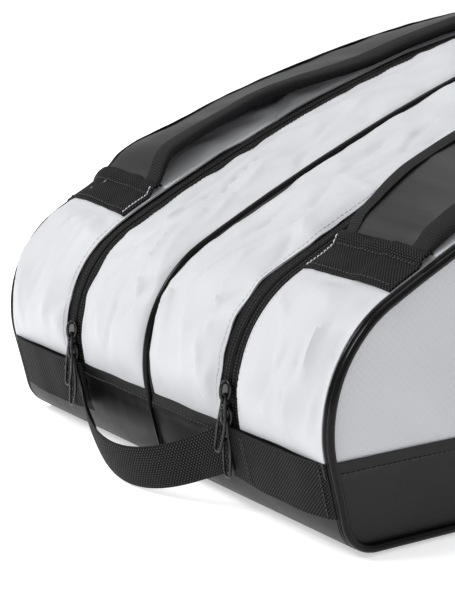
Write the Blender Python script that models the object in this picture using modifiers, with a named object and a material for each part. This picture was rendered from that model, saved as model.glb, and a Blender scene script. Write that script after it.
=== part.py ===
"""Racket tournament bag: two zipped racket compartments, a nose handle and two padded shoulder straps.

Frame: +X runs from the narrow nose to the wide head end, +Y to the left, +Z up.  The origin is
on the floor under the middle of the bag.  Lengths are in metres.

The side outline is a chain of ten stretches, and a "station" is a place along it: the whole
part is the stretch and the fraction is how far along that stretch.  Every strip of fabric, zip
tape, webbing and piping is cut from that one outline, at a width Y and an inset from it.
"""
from math import acos, asin, atan2, cos, pi, radians, sin, sqrt

import bmesh
import bpy
from mathutils import Matrix, Vector

# Overall shape
LENGTH = 0.762
WIDTH = 0.360
BORDER_Z = 0.055
NOSE_RADIUS = 0.0776
NOSE_CENTRE_Z = 0.0736
NOSE_LEAN = radians(14.3)
NOSE_CORNER_RADIUS = 0.024
NOSE_END_SLOPE = radians(28.4)
TOP_BREAK_SLOPE = radians(18.5)
TOP_FRONT_RADIUS_CENTRE = 1.50
TOP_FRONT_RADIUS_SIDE = 1.00
TOP_REAR_RADIUS = 0.80
HEAD_RADIUS = 0.130
TAIL_CORNER_RADIUS = 0.040

# Sheets and gaps
GAP = 0.0003
FABRIC = 0.0015
SIDE_PANEL = 0.0012
FOAM = 0.004
BOARD = 0.003
DIVIDER = 0.003
DIVIDER_INSET = 0.005
BOARD_INSET = 0.012
FOAM_INSET = 0.007
FOAM_HINGE_GAP = 0.012
FOAM_NOSE_GAP = 0.045

# Where the parts that fold out stop short of the nose, as shares of a stretch of the outline
NOSE_STOP = 0.99
PANEL_NOSE_STOP = 0.985
PIPING_NOSE_STOP = 0.965
COVER_START = 0.004
PANEL_START = 0.012
PIPING_START = 0.02
FOAM_START = 0.12
FOLD_GAP = 0.0006
PANEL_RUN_IN = 0.004

# Zips
ZIP_Y = 0.090
ZIP_HALF_WIDTH = 0.0102
ZIP_HALF_SLIT = 0.0008
ZIP_TAPE = 0.0008
LOWER_SLIDER_ANGLE = radians(-8.2)
UPPER_SLIDER_ANGLE = radians(2.4)
SLIDER_LENGTH = 0.013
SLIDER_WIDTH = 0.0104
PULLER_LENGTH = 0.034
PULLER_HALF_WIDTH = 0.00345
PULLER_RADIUS = 0.00075
UPPER_PULLER_TILT = radians(6.0)

# Hinge line of each cover, in the plane of its side panel
HINGE_TAIL_Z = 0.085
HINGE_Y = 0.1855

# Piping
PIPING_RADIUS = 0.0024
CENTRE_PIPING_RADIUS = 0.0020
CENTRE_PIPING_FOOT_Z = 0.012
CENTRE_PIPING_TAIL_Z = 0.050
PIPING_FOLD_GAP = 0.0025

# Webbing
WEBBING = 0.0015
BAND_BOTTOM_Z = 0.0225
BAND_TOP_Z = 0.0528
BAND_INNER_Y = 0.0745

# Nose handle: a parabola hanging from the nose
HANDLE_AXIS_Z = 0.0424
HANDLE_HALF_SPAN = 0.0855
HANDLE_REACH = 0.0391
HANDLE_DROOP = radians(40.4)
HANDLE_HALF_WIDTH = 0.0148
HANDLE_START = 0.010

# Shoulder straps
STRAP_INNER_Y = 0.1045
STRAP_OUTER_Y = 0.1745
STRAP_START_X = -0.3020
STRAP_END_X = 0.0950
STRAP_THICKNESS = 0.009
STRAP_CLEARANCE = 0.0012
STRAP_ARCH = 0.011
BINDING_WIDTH = 0.0030
BINDING_GAP = 0.0009
TAB_START_X = -0.3360
BUCKLE_LENGTH = 0.034
BUCKLE_WIDTH = 0.048
BUCKLE_THICKNESS = 0.004
BUCKLE_BAR = 0.005
BUCKLE_LIFT = 0.0022
TAIL_WEB_START_X = 0.1325
TAIL_WEB_END_X = 0.2600
TAIL_SEAM_GAP = 0.0025
TAIL_WEB_HALF_WIDTH = 0.019
TAIL_TAB_END_X = 0.2950

# Stretches of the outline, by number, and the end of one
FULL = 0.99999
NOSE_CORNER, NOSE_LINE, NOSE_ARC, TOP_FRONT, TOP_REAR, HEAD, TAIL_LINE, TAIL_CORNER = range(1, 9)
DIVISIONS = {0: 1, NOSE_CORNER: 4, NOSE_LINE: 1, NOSE_ARC: 12, TOP_FRONT: 5, TOP_REAR: 7,
             HEAD: 7, TAIL_LINE: 1, TAIL_CORNER: 4, 9: 1}

for old in list(bpy.data.objects):
    bpy.data.objects.remove(old, do_unlink=True)

parts = bpy.data.collections.new("racket_tournament_bag")
cutters = bpy.data.collections.new("cutters")
bpy.context.scene.collection.children.link(parts)
bpy.context.scene.collection.children.link(cutters)


# ---------------------------------------------------------------- materials
def material(name, colour, roughness, metallic=0.0):
    made = bpy.data.materials.new(name)
    made.use_nodes = True
    shader = made.node_tree.nodes["Principled BSDF"]
    shader.inputs["Base Color"].default_value = (*colour, 1.0)
    shader.inputs["Roughness"].default_value = roughness
    shader.inputs["Metallic"].default_value = metallic
    return made


WHITE = (0.78, 0.79, 0.82)
GREY_WHITE = (0.62, 0.63, 0.66)
BLACK = (0.022, 0.022, 0.024)
DARK_GREY = (0.045, 0.048, 0.056)


# ---------------------------------------------------------------- outline
def toward(angle):
    return Vector((cos(angle), sin(angle)))


def arcs(y):
    """The outline's arcs at the width y, as centre, radius, first and last outward angle."""
    crown = (abs(y) / (WIDTH / 2)) ** 2
    front_radius = TOP_FRONT_RADIUS_CENTRE + (TOP_FRONT_RADIUS_SIDE - TOP_FRONT_RADIUS_CENTRE) * crown
    lean = pi + NOSE_LEAN
    slope = pi / 2 + NOSE_END_SLOPE
    bend = pi / 2 + TOP_BREAK_SLOPE
    nose = Vector((-LENGTH / 2 + NOSE_RADIUS, NOSE_CENTRE_Z))
    start = nose + NOSE_RADIUS * toward(lean)
    foot_z = NOSE_CORNER_RADIUS * (1 + sin(lean))
    foot_x = start.x + (start.y - foot_z) * sin(NOSE_LEAN) / cos(NOSE_LEAN)
    corner = Vector((foot_x, foot_z)) - NOSE_CORNER_RADIUS * toward(lean)
    front = nose + (NOSE_RADIUS - front_radius) * toward(slope)
    rear = front + (front_radius - TOP_REAR_RADIUS) * toward(bend)
    head_x = LENGTH / 2 - HEAD_RADIUS
    last = acos((head_x - rear.x) / (TOP_REAR_RADIUS - HEAD_RADIUS))
    head = rear + (TOP_REAR_RADIUS - HEAD_RADIUS) * toward(last)
    tail = Vector((LENGTH / 2 - TAIL_CORNER_RADIUS, TAIL_CORNER_RADIUS))
    return {
        NOSE_CORNER: (corner, NOSE_CORNER_RADIUS, 1.5 * pi, lean),
        NOSE_ARC: (nose, NOSE_RADIUS, lean, slope),
        TOP_FRONT: (front, front_radius, slope, bend),
        TOP_REAR: (rear, TOP_REAR_RADIUS, bend, last),
        HEAD: (head, HEAD_RADIUS, last, 0.0),
        TAIL_CORNER: (tail, TAIL_CORNER_RADIUS, 0.0, -pi / 2),
    }


def outline(y, station, inset=0.0):
    """The point (x, z) of the outline at a width, a station and an inset from the outer face."""
    stretch = min(int(station), 9)
    along = station - stretch
    table = arcs(y)

    def on_arc(number, fraction):
        centre, radius, first, last = table[number]
        return centre + (radius - inset) * toward(first + (last - first) * fraction)

    if stretch in table:
        return on_arc(stretch, along)
    if stretch == 0:
        return Vector((0.0, inset)).lerp(on_arc(NOSE_CORNER, 0.0), along)
    if stretch == 9:
        return on_arc(TAIL_CORNER, 1.0).lerp(Vector((0.0, inset)), along)
    return on_arc(stretch - 1, 1.0).lerp(on_arc(stretch + 1, 0.0), along)


def stations(first, last):
    """Stations from first to last, with the outline's own divisions between them."""
    marks = [number + step / count for number, count in DIVISIONS.items() for step in range(count)]
    return [first] + [mark for mark in marks if first + 1e-4 < mark < last - 1e-4] + [last]


def nose_station(z):
    """Station at a height on the nose, below the end of its arc."""
    table = arcs(0.0)
    foot = outline(0.0, float(NOSE_LINE)).y
    arc_start = outline(0.0, float(NOSE_ARC)).y
    if z < arc_start:
        return NOSE_LINE + (z - foot) / (arc_start - foot)
    centre, radius, first, last = table[NOSE_ARC]
    angle = pi - asin((z - centre.y) / radius)
    return NOSE_ARC + (first - angle) / (first - last)


def tail_station(y, z):
    """Station at a height on the straight tail."""
    high = outline(y, float(TAIL_LINE)).y
    return TAIL_LINE + (high - z) / (high - TAIL_CORNER_RADIUS)


def top_station(y, x):
    """Station at a length x on the top or on the head end."""
    for number in (TOP_FRONT, TOP_REAR, HEAD):
        centre, radius, first, last = arcs(y)[number]
        angle = acos(max(-1.0, min(1.0, (x - centre.x) / radius)))
        if angle >= last - 1e-9:
            return number + (first - angle) / (first - last)
    return float(TAIL_LINE)


# ---------------------------------------------------------------- builders
def add(name, data, finish, parent=None):
    """A new part with its material, kept in place under its joint's empty."""
    part = bpy.data.objects.new(name, data)
    parts.objects.link(part)
    part.data.materials.clear()
    part.data.materials.append(finish)
    if parent is not None:
        part.parent = parent
        part.matrix_parent_inverse = parent.matrix_world.inverted()
    return part


def axis_empty(name, location, turn=None):
    empty = bpy.data.objects.new(name, None)
    parts.objects.link(empty)
    empty.empty_display_size = 0.02
    empty.matrix_world = Matrix.Translation(location) @ (turn or Matrix.Identity(4))
    return empty


def solidify(part, thickness):
    thick = part.modifiers.new("thickness", "SOLIDIFY")
    thick.thickness = thickness
    thick.offset = -1.0
    return part


def sheet(name, first, last, widths, inset, thickness, finish, parent=None):
    """A strip lofted between the outlines at several widths.

    first and last are stations, or functions of the width; inset is a length, or a function
    of the fraction of the strip's run.
    """
    place = bmesh.new()
    columns = []
    ends = [(y, first(y) if callable(first) else first, last(y) if callable(last) else last)
            for y in sorted(widths)]
    begin, end = ends[0][1:]
    fractions = [(mark - begin) / (end - begin) for mark in stations(begin, end)]
    for y, begin, end in ends:
        column = []
        for fraction in fractions:
            depth = inset(fraction) if callable(inset) else inset
            x, z = outline(y, begin + (end - begin) * fraction, depth)
            column.append(place.verts.new((x, y, z)))
        columns.append(column)
    for near, far in zip(columns, columns[1:]):
        for index in range(len(near) - 1):
            place.faces.new((near[index], near[index + 1], far[index + 1], far[index]))
    mesh = bpy.data.meshes.new(name)
    place.to_mesh(mesh)
    place.free()
    return solidify(add(name, mesh, finish, parent), thickness)


def plate(name, points, y_low, y_high, finish, parent=None, holes=()):
    """A flat panel in the XZ plane, from y_low to y_high."""
    curve = bpy.data.curves.new(name, "CURVE")
    curve.dimensions = "2D"
    curve.fill_mode = "BOTH"
    curve.extrude = abs(y_high - y_low) / 2
    for ring in (points, *holes):
        spline = curve.splines.new("POLY")
        spline.points.add(len(ring) - 1)
        for point, (x, z) in zip(spline.points, ring):
            point.co = (x, z, 0.0, 1.0)
        spline.use_cyclic_u = True
    part = add(name, curve, finish)
    part.matrix_world = Matrix.Translation((0, (y_low + y_high) / 2, 0)) @ Matrix.Rotation(pi / 2, 4, "X")
    if parent is not None:
        part.parent = parent
        part.matrix_parent_inverse = parent.matrix_world.inverted()
    return part


def tube(name, points, radius, finish, parent=None, closed=False):
    """A round cord through the points."""
    curve = bpy.data.curves.new(name, "CURVE")
    curve.dimensions = "3D"
    curve.bevel_depth = radius
    curve.bevel_resolution = 2
    curve.use_fill_caps = not closed
    spline = curve.splines.new("POLY")
    spline.points.add(len(points) - 1)
    for point, place in zip(spline.points, points):
        point.co = (*place, 1.0)
    spline.use_cyclic_u = closed
    return add(name, curve, finish, parent)


def box(name, low, high):
    """A plain block between two corners, as a cutter or a piece to join."""
    mesh = bpy.data.meshes.new(name)
    shape = bmesh.new()
    bmesh.ops.create_cube(shape, size=1.0)
    low, high = Vector(low), Vector(high)
    size = high - low
    bmesh.ops.scale(shape, vec=size, verts=shape.verts)
    bmesh.ops.translate(shape, vec=(low + high) / 2, verts=shape.verts)
    shape.to_mesh(mesh)
    shape.free()
    block = bpy.data.objects.new(name, mesh)
    cutters.objects.link(block)
    block.hide_render = True
    block.display_type = "WIRE"
    return block


def spread(low, high, count):
    """Evenly spaced widths between two."""
    return [low + (high - low) * step / count for step in range(count + 1)]


# ---------------------------------------------------------------- base and fixed lower part
def build_base():
    tarpaulin = material("black_tarpaulin", BLACK, 0.42)
    board = material("stiffener", (0.03, 0.03, 0.03), 0.6)
    half = WIDTH / 2 - FABRIC
    border = nose_station(BORDER_Z)
    sheet("nose_lower_panel", NOSE_CORNER + 0.0, border, (-half, half), 0.0, FABRIC, tarpaulin)
    x_front = outline(0, NOSE_CORNER).x + GAP
    x_rear = outline(0, TAIL_CORNER + FULL).x - GAP
    flat = [(x_front, 0.0), (x_rear, 0.0), (x_rear, FABRIC), (x_front, FABRIC)]
    plate("base_panel", flat, -half, half, tarpaulin)
    sheet("tail_lower_panel", lambda y: tail_station(y, BORDER_Z), TAIL_CORNER + FULL, (-half, half),
          0.0, FABRIC, tarpaulin)
    low = FABRIC + GAP
    flat = [(x_front + BOARD_INSET, low), (x_rear - BOARD_INSET, low),
            (x_rear - BOARD_INSET, low + BOARD), (x_front + BOARD_INSET, low + BOARD)]
    plate("base_board", flat, -half + BOARD_INSET, half - BOARD_INSET, board)


def build_divider():
    lining = material("divider_foam", (0.05, 0.05, 0.055), 0.8)
    ring = [outline(0, mark, DIVIDER_INSET) for mark in stations(NOSE_CORNER, TAIL_CORNER + 1.0)]
    floor = FABRIC + GAP + BOARD + GAP
    ring = [(point.x, max(point.y, floor)) for point in ring]
    plate("divider_panel", ring, -DIVIDER / 2, DIVIDER / 2, lining)


def build_middle():
    """The inner strips, the centre seam and the inner half of each zip, which never move."""
    white = material("white_tarpaulin", WHITE, 0.34)
    tape = material("zip_tape", BLACK, 0.7)
    rubber = material("piping_black", BLACK, 0.25)
    start = nose_station(BORDER_Z + GAP)

    def finish(y):
        return tail_station(y, BORDER_Z + GAP)

    def zip_finish(y):
        return tail_station(y, HINGE_TAIL_Z)

    edge = ZIP_Y - ZIP_HALF_WIDTH - GAP
    for side, sign in (("right", -1), ("left", 1)):
        sheet(f"{side}_inner_gusset", start, finish, [sign * y for y in spread(GAP, edge, 2)],
              0.0, FABRIC, white)
        sheet(f"{side}_zip_inner_tape", start, zip_finish,
              [sign * (ZIP_Y - ZIP_HALF_WIDTH), sign * (ZIP_Y - ZIP_HALF_SLIT)], GAP, ZIP_TAPE, tape)
    lift = -CENTRE_PIPING_RADIUS - GAP
    first = nose_station(CENTRE_PIPING_FOOT_Z)
    last = tail_station(0.0, CENTRE_PIPING_TAIL_Z)
    seam = [outline(0, mark, lift) for mark in stations(first, last)]
    tube("centre_piping", [(x, 0.0, z) for x, z in seam], CENTRE_PIPING_RADIUS, rubber)


def build_fixed_side(side, sign):
    """The black lower side, the fixed part of the white side and the seams that stay put."""
    tarpaulin = material(f"{side}_lower_tarpaulin", BLACK, 0.42)
    white = material(f"{side}_fixed_white", GREY_WHITE, 0.5)
    gusset = material(f"{side}_fixed_gusset", WHITE, 0.34)
    tape = material(f"{side}_fixed_zip_tape", BLACK, 0.7)
    rubber = material(f"{side}_fixed_piping", BLACK, 0.25)
    webbing = material(f"{side}_webbing", BLACK, 0.8)
    y = sign * WIDTH / 2
    inner_face, outer_face = sorted((y, y - sign * SIDE_PANEL))

    border = nose_station(BORDER_Z)
    tail_border = tail_station(y, BORDER_Z)
    ring = [outline(y, mark, GAP) for mark in stations(tail_border, 9.5)]
    ring += [outline(y, mark, GAP) for mark in stations(0.5, border)]
    plate(f"{side}_lower_side", ring, inner_face, outer_face, tarpaulin)

    hinge_start, hinge_end, run = hinge_line(sign)
    rise = Vector((-run.y, run.x))
    rise = rise if rise.y > 0 else -rise
    below = -rise * FOLD_GAP
    nose_run = [outline(y, mark, GAP) for mark in stations(nose_station(BORDER_Z + GAP), NOSE_ARC + PANEL_NOSE_STOP)]
    tail_low = outline(y, tail_station(y, BORDER_Z + GAP), GAP)
    ring = nose_run + [Vector((hinge_start.x, hinge_start.y)) + below + run * PANEL_RUN_IN,
                       Vector((hinge_end.x - GAP, hinge_end.y)) + below, tail_low]
    plate(f"{side}_side_panel_fixed", ring, inner_face, outer_face, white)

    inner = ZIP_Y + ZIP_HALF_WIDTH + GAP
    outer = WIDTH / 2 - FABRIC
    start = nose_station(BORDER_Z + GAP)
    arc_end = NOSE_ARC + NOSE_STOP
    sheet(f"{side}_nose_outer_gusset", start, arc_end, (sign * inner, sign * outer), 0.0, FABRIC, gusset)
    sheet(f"{side}_nose_zip_tape", start, arc_end,
          (sign * (ZIP_Y + ZIP_HALF_SLIT), sign * (ZIP_Y + ZIP_HALF_WIDTH)), GAP, ZIP_TAPE, tape)
    low_edge = ZIP_Y - ZIP_HALF_WIDTH
    sheet(f"{side}_tail_outer_gusset", lambda w: tail_station(w, HINGE_TAIL_Z - 2 * GAP),
          lambda w: tail_station(w, BORDER_Z + GAP), (sign * low_edge, sign * outer), 0.0, FABRIC, gusset)

    inset = PIPING_RADIUS + GAP / 2
    centre_y = sign * (WIDTH / 2 + GAP + PIPING_RADIUS)
    tail_cut = tail_station(y, HINGE_TAIL_Z - PIPING_FOLD_GAP)
    rear = [outline(y, mark, inset) for mark in stations(tail_cut, 9.5)]
    front = [outline(y, mark, inset) for mark in stations(0.5, NOSE_ARC + PIPING_NOSE_STOP)]
    tube(f"{side}_lower_piping", [(x, centre_y, z) for x, z in rear + front], PIPING_RADIUS, rubber)

    sheet(f"{side}_nose_band", nose_station(BAND_BOTTOM_Z), nose_station(BAND_TOP_Z),
          (sign * BAND_INNER_Y, sign * outer), -GAP - WEBBING, WEBBING, webbing)


# ---------------------------------------------------------------- covers
def hinge_line(sign):
    """First and last point of a cover's fold, and its direction, in the XZ plane."""
    start = outline(sign * WIDTH / 2, NOSE_ARC + 1.0)
    end = Vector((LENGTH / 2, HINGE_TAIL_Z))
    return start, end, (end - start).normalized()


def build_cover(side, sign):
    """The side panel, outer strip and outer half zip of one compartment, which fold out together."""
    white = material(f"{side}_side_white", GREY_WHITE, 0.5)
    gusset = material(f"{side}_outer_white", WHITE, 0.34)
    tape = material(f"{side}_zip_tape", BLACK, 0.7)
    rubber = material(f"{side}_piping", BLACK, 0.25)
    foam = material(f"{side}_lining", (0.35, 0.36, 0.38), 0.8)
    webbing = material(f"{side}_tab_webbing", BLACK, 0.8)
    y = sign * WIDTH / 2
    inner_face, outer_face = sorted((y, y - sign * SIDE_PANEL))
    start, end, run = hinge_line(sign)
    axis = axis_empty(f"{side}_cover_axis", (start.x, sign * HINGE_Y, start.y))

    def tail_end(width):
        return tail_station(width, HINGE_TAIL_Z + GAP)

    above = Vector((-run.y, run.x)) * FOLD_GAP
    above = above if above.y > 0 else -above
    arc = [outline(y, mark, GAP) for mark in stations(TOP_FRONT + PANEL_START, TAIL_LINE)]
    ring = arc + [end + above - run * GAP, start + above + run * PANEL_RUN_IN]
    plate(f"{side}_side_panel", ring, inner_face, outer_face, white, axis)

    back = sorted((y - sign * (SIDE_PANEL + GAP), y - sign * (SIDE_PANEL + GAP + FOAM)))
    lifted = above.normalized() * FOAM_HINGE_GAP
    arc = [outline(y, mark, FOAM_INSET) for mark in stations(TOP_FRONT + FOAM_START, TAIL_LINE)]
    ring = arc + [end + lifted - run * (FOAM_INSET + PANEL_RUN_IN), start + lifted + run * FOAM_NOSE_GAP]
    plate(f"{side}_side_foam", ring, back[0], back[1], foam, axis)

    inner = ZIP_Y + ZIP_HALF_WIDTH + GAP
    outer = WIDTH / 2 - FABRIC
    sheet(f"{side}_outer_gusset", TOP_FRONT + COVER_START, tail_end, [sign * w for w in spread(inner, outer, 2)],
          0.0, FABRIC, gusset, axis)
    sheet(f"{side}_zip_outer_tape", TOP_FRONT + COVER_START, tail_end,
          (sign * (ZIP_Y + ZIP_HALF_SLIT), sign * (ZIP_Y + ZIP_HALF_WIDTH)), GAP, ZIP_TAPE, tape, axis)

    inset = PIPING_RADIUS + GAP / 2
    centre_y = sign * (WIDTH / 2 + GAP + PIPING_RADIUS)
    rim = [outline(y, mark, inset) for mark in stations(TOP_FRONT + PIPING_START, tail_station(y, HINGE_TAIL_Z + PIPING_FOLD_GAP))]
    tube(f"{side}_upper_piping", [(x, centre_y, z) for x, z in rim], PIPING_RADIUS, rubber, axis)

    sheet(f"{side}_strap_tab", lambda w: top_station(w, TAB_START_X),
          lambda w: top_station(w, STRAP_START_X - 2 * GAP), [sign * w for w in spread(inner, outer, 2)],
          -GAP - WEBBING, WEBBING, webbing, axis)
    sheet(f"{side}_tail_tab", lambda w: top_station(w, TAIL_WEB_END_X + TAIL_SEAM_GAP),
          lambda w: top_station(w, TAIL_TAB_END_X), [sign * w for w in spread(inner, outer, 2)],
          -GAP - WEBBING, WEBBING, webbing, axis)
    build_strap(side, sign, axis)


# ---------------------------------------------------------------- shoulder straps
def build_strap(side, sign, cover_axis):
    """The padded strap with bound edges and its buckle, and the webbing that holds its tail."""
    synthetic = material(f"{side}_strap_synthetic", DARK_GREY, 0.38)
    ribbing = material(f"{side}_strap_binding", BLACK, 0.85)
    plastic = material(f"{side}_buckle_plastic", BLACK, 0.4)
    webbing = material(f"{side}_strap_webbing", BLACK, 0.8)
    middle = sign * (STRAP_INNER_Y + STRAP_OUTER_Y) / 2

    foot = outline(middle, top_station(middle, STRAP_START_X), -STRAP_CLEARANCE)
    lift_axis = axis_empty(f"{side}_strap_axis", (foot.x, middle, foot.y))
    lift_axis.parent = cover_axis
    lift_axis.matrix_parent_inverse = cover_axis.matrix_world.inverted()
    bpy.context.view_layer.update()

    def start(width):
        return top_station(width, STRAP_START_X)

    def end(width):
        return top_station(width, STRAP_END_X)

    def top_face(along):
        return -(STRAP_CLEARANCE + STRAP_THICKNESS + STRAP_ARCH * sqrt(sin(pi * min(max(along, 0.0), 1.0))))

    near = STRAP_INNER_Y + BINDING_WIDTH + BINDING_GAP
    far = STRAP_OUTER_Y - BINDING_WIDTH - BINDING_GAP
    sheet(f"{side}_strap_pad", start, end, [sign * w for w in spread(near, far, 2)],
          top_face, STRAP_THICKNESS, synthetic, lift_axis)
    for edge, low in (("inner", STRAP_INNER_Y), ("outer", STRAP_OUTER_Y - BINDING_WIDTH)):
        sheet(f"{side}_strap_{edge}_binding", start, end, (sign * low, sign * (low + BINDING_WIDTH)),
              top_face, STRAP_THICKNESS, ribbing, lift_axis)

    buckle = ladder_buckle(f"{side}_strap_buckle", plastic)
    centre_x = STRAP_END_X + 2 * GAP + BUCKLE_LENGTH / 2
    rest = outline(middle, top_station(middle, centre_x), -BUCKLE_LIFT - BUCKLE_THICKNESS / 2)
    buckle.matrix_world = Matrix.Translation((rest.x, middle, rest.y)) @ surface_turn(middle, centre_x)
    buckle.parent = lift_axis
    buckle.matrix_parent_inverse = lift_axis.matrix_world.inverted()

    anchor = outline(middle, top_station(middle, TAIL_WEB_END_X), -STRAP_CLEARANCE)
    tail_axis = axis_empty(f"{side}_strap_tail_axis", (anchor.x, middle, anchor.y))
    tail_axis.parent = cover_axis
    tail_axis.matrix_parent_inverse = cover_axis.matrix_world.inverted()
    bpy.context.view_layer.update()
    low = abs(middle) - TAIL_WEB_HALF_WIDTH
    high = abs(middle) + TAIL_WEB_HALF_WIDTH
    sheet(f"{side}_strap_webbing", lambda w: top_station(w, TAIL_WEB_START_X),
          lambda w: top_station(w, TAIL_WEB_END_X), [sign * w for w in spread(low, high, 2)],
          -STRAP_CLEARANCE - WEBBING, WEBBING, webbing, tail_axis)


def surface_turn(y, x):
    """Turn that lays a flat piece on the top at a width and a length: pitch, then cross slope."""
    centre, radius, first, last = arcs(y)[int(top_station(y, x))]
    pitch = asin((centre.x - x) / radius)
    step = 0.01
    near = outline(y - step, top_station(y - step, x)).y
    far = outline(y + step, top_station(y + step, x)).y
    roll = atan2(far - near, 2 * step)
    return Matrix.Rotation(-pitch, 4, "Y") @ Matrix.Rotation(roll, 4, "X")


def ladder_buckle(name, finish):
    """A flat plastic frame with two slots for the webbing."""
    curve = bpy.data.curves.new(name, "CURVE")
    curve.dimensions = "2D"
    curve.fill_mode = "BOTH"
    curve.extrude = BUCKLE_THICKNESS / 2
    half_length, half_width = BUCKLE_LENGTH / 2, BUCKLE_WIDTH / 2
    slot = (BUCKLE_LENGTH - 3 * BUCKLE_BAR) / 2
    rings = [(-half_length, half_length, half_width)]
    for low in (-half_length + BUCKLE_BAR, BUCKLE_BAR / 2):
        rings.append((low, low + slot, half_width - BUCKLE_BAR + 0.001))
    for low, high, reach in rings:
        spline = curve.splines.new("POLY")
        spline.points.add(3)
        for point, (x, y) in zip(spline.points, ((low, -reach), (high, -reach), (high, reach), (low, reach))):
            point.co = (x, y, 0.0, 1.0)
        spline.use_cyclic_u = True
    return add(name, curve, finish)


# ---------------------------------------------------------------- zip sliders
def slider_mesh():
    """One slider, with -X away from the bag, Z along the zip and its origin on the fabric's face."""
    half = SLIDER_LENGTH / 2
    face = box("slider_face", (-0.0026, -SLIDER_WIDTH / 2, -half), (-0.0008, SLIDER_WIDTH / 2, half))
    for vertex in face.data.vertices:
        if vertex.co.z < 0:
            vertex.co.y *= 0.66
    back = box("slider_back", (0.0018, -SLIDER_WIDTH / 2 + 0.001, -half), (0.0030, SLIDER_WIDTH / 2 - 0.001, half))
    neck = box("slider_neck", (-0.0012, -0.0005, 0.0005), (0.0022, 0.0005, 0.0050))
    bridge = box("slider_bridge", (-0.0062, -0.0012, -0.0052), (-0.0022, 0.0012, 0.0052))
    window = box("slider_window", (-0.0050, -0.0030, -0.0040), (-0.0026, 0.0030, 0.0040))
    for shape, operation in ((bridge, "UNION"), (window, "DIFFERENCE"), (neck, "UNION"), (back, "UNION")):
        step = face.modifiers.new(shape.name, "BOOLEAN")
        step.operation = operation
        step.solver = "EXACT"
        step.object = shape
    bpy.context.view_layer.update()
    depsgraph = bpy.context.evaluated_depsgraph_get()
    mesh = bpy.data.meshes.new_from_object(face.evaluated_get(depsgraph))
    for shape in (face, back, neck, bridge, window):
        bpy.data.objects.remove(shape, do_unlink=True)
    return mesh


def puller_curve(name):
    """A long closed loop of wire hanging from its top bar, which lies on the pin's axis."""
    chamfer = 0.0010
    w, bottom = PULLER_HALF_WIDTH, -PULLER_LENGTH + PULLER_HALF_WIDTH
    points = [(w - chamfer, 0.0), (w, -chamfer)]
    steps = 6
    for step in range(steps + 1):
        angle = -pi * step / steps
        points.append((w * cos(angle), bottom + w * sin(angle)))
    points += [(-w, -chamfer), (-w + chamfer, 0.0)]
    curve = bpy.data.curves.new(name, "CURVE")
    curve.dimensions = "3D"
    curve.bevel_depth = PULLER_RADIUS
    curve.bevel_resolution = 2
    spline = curve.splines.new("POLY")
    spline.points.add(len(points) - 1)
    for point, (y, z) in zip(spline.points, points):
        point.co = (0.0, y, z, 1.0)
    spline.use_cyclic_u = True
    return curve


def build_sliders():
    metal = material("black_metal", (0.02, 0.02, 0.02), 0.3, 1.0)
    shared = slider_mesh()
    nose = arcs(0.0)[NOSE_ARC][0]
    for side, sign in (("right", -1), ("left", 1)):
        for level, angle, tilt in (("lower", LOWER_SLIDER_ANGLE, 0.0),
                                   ("upper", UPPER_SLIDER_ANGLE, UPPER_PULLER_TILT)):
            centre = Vector((nose.x, sign * ZIP_Y, nose.y))
            axis = axis_empty(f"{side}_{level}_slider_axis", centre, Matrix.Rotation(angle, 4, "Y"))
            bpy.context.view_layer.update()
            slider = add(f"{side}_{level}_slider", shared, metal)
            slider.parent = axis
            slider.location = (-NOSE_RADIUS, 0.0, 0.0)
            puller = add(f"{side}_{level}_puller", puller_curve(f"{side}_{level}_puller"), metal)
            puller.parent = slider
            puller.location = (-0.0038, 0.0, -0.0026)
            puller.rotation_euler = (0.0, tilt - angle, 0.0)


# ---------------------------------------------------------------- nose handle
def build_handle():
    """The webbing loop between the two zips, as a band on a parabola that droops from the nose."""
    webbing = material("handle_webbing", BLACK, 0.8)
    root = outline(0.0, nose_station(HANDLE_AXIS_Z))
    out = Vector((-cos(HANDLE_DROOP), 0.0, -sin(HANDLE_DROOP)))
    across = Vector((0.0, 1.0, 0.0))
    turn = Matrix((across, out, across.cross(out))).transposed().to_4x4()
    axis = axis_empty("nose_handle_axis", (root.x, 0.0, root.y), turn)
    curve = bpy.data.curves.new("nose_handle", "CURVE")
    curve.dimensions = "2D"
    curve.fill_mode = "NONE"
    curve.extrude = HANDLE_HALF_WIDTH
    end = HANDLE_HALF_SPAN * sqrt(1 - HANDLE_START / HANDLE_REACH)
    count = 20
    spline = curve.splines.new("POLY")
    spline.points.add(count)
    for index, point in enumerate(spline.points):
        y = end * (1 - 2 * index / count)
        point.co = (y, HANDLE_REACH * (1 - (y / HANDLE_HALF_SPAN) ** 2), 0.0, 1.0)
    handle = add("nose_handle", curve, webbing)
    handle.parent = axis
    thick = handle.modifiers.new("thickness", "SOLIDIFY")
    thick.thickness = WEBBING
    thick.offset = 0.0


build_base()
build_divider()
build_middle()
for name_of_side, direction in (("right", -1), ("left", 1)):
    build_fixed_side(name_of_side, direction)
    build_cover(name_of_side, direction)
build_sliders()
build_handle()
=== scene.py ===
"""Looks of the racket tournament bag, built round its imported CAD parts.

Every strip of fabric, tape, webbing and piping is cut from the CAD's own side outline: a station
along it, a width Y, and a rise above it for the crown, the folds and the hems.  Lengths are metres.
"""
import random
from functools import lru_cache
from math import acos, asin, copysign, cos, exp, pi, radians, sin, sqrt, tan

import bmesh
import bpy
import numpy as np
from mathutils import Matrix, Vector, noise


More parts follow.
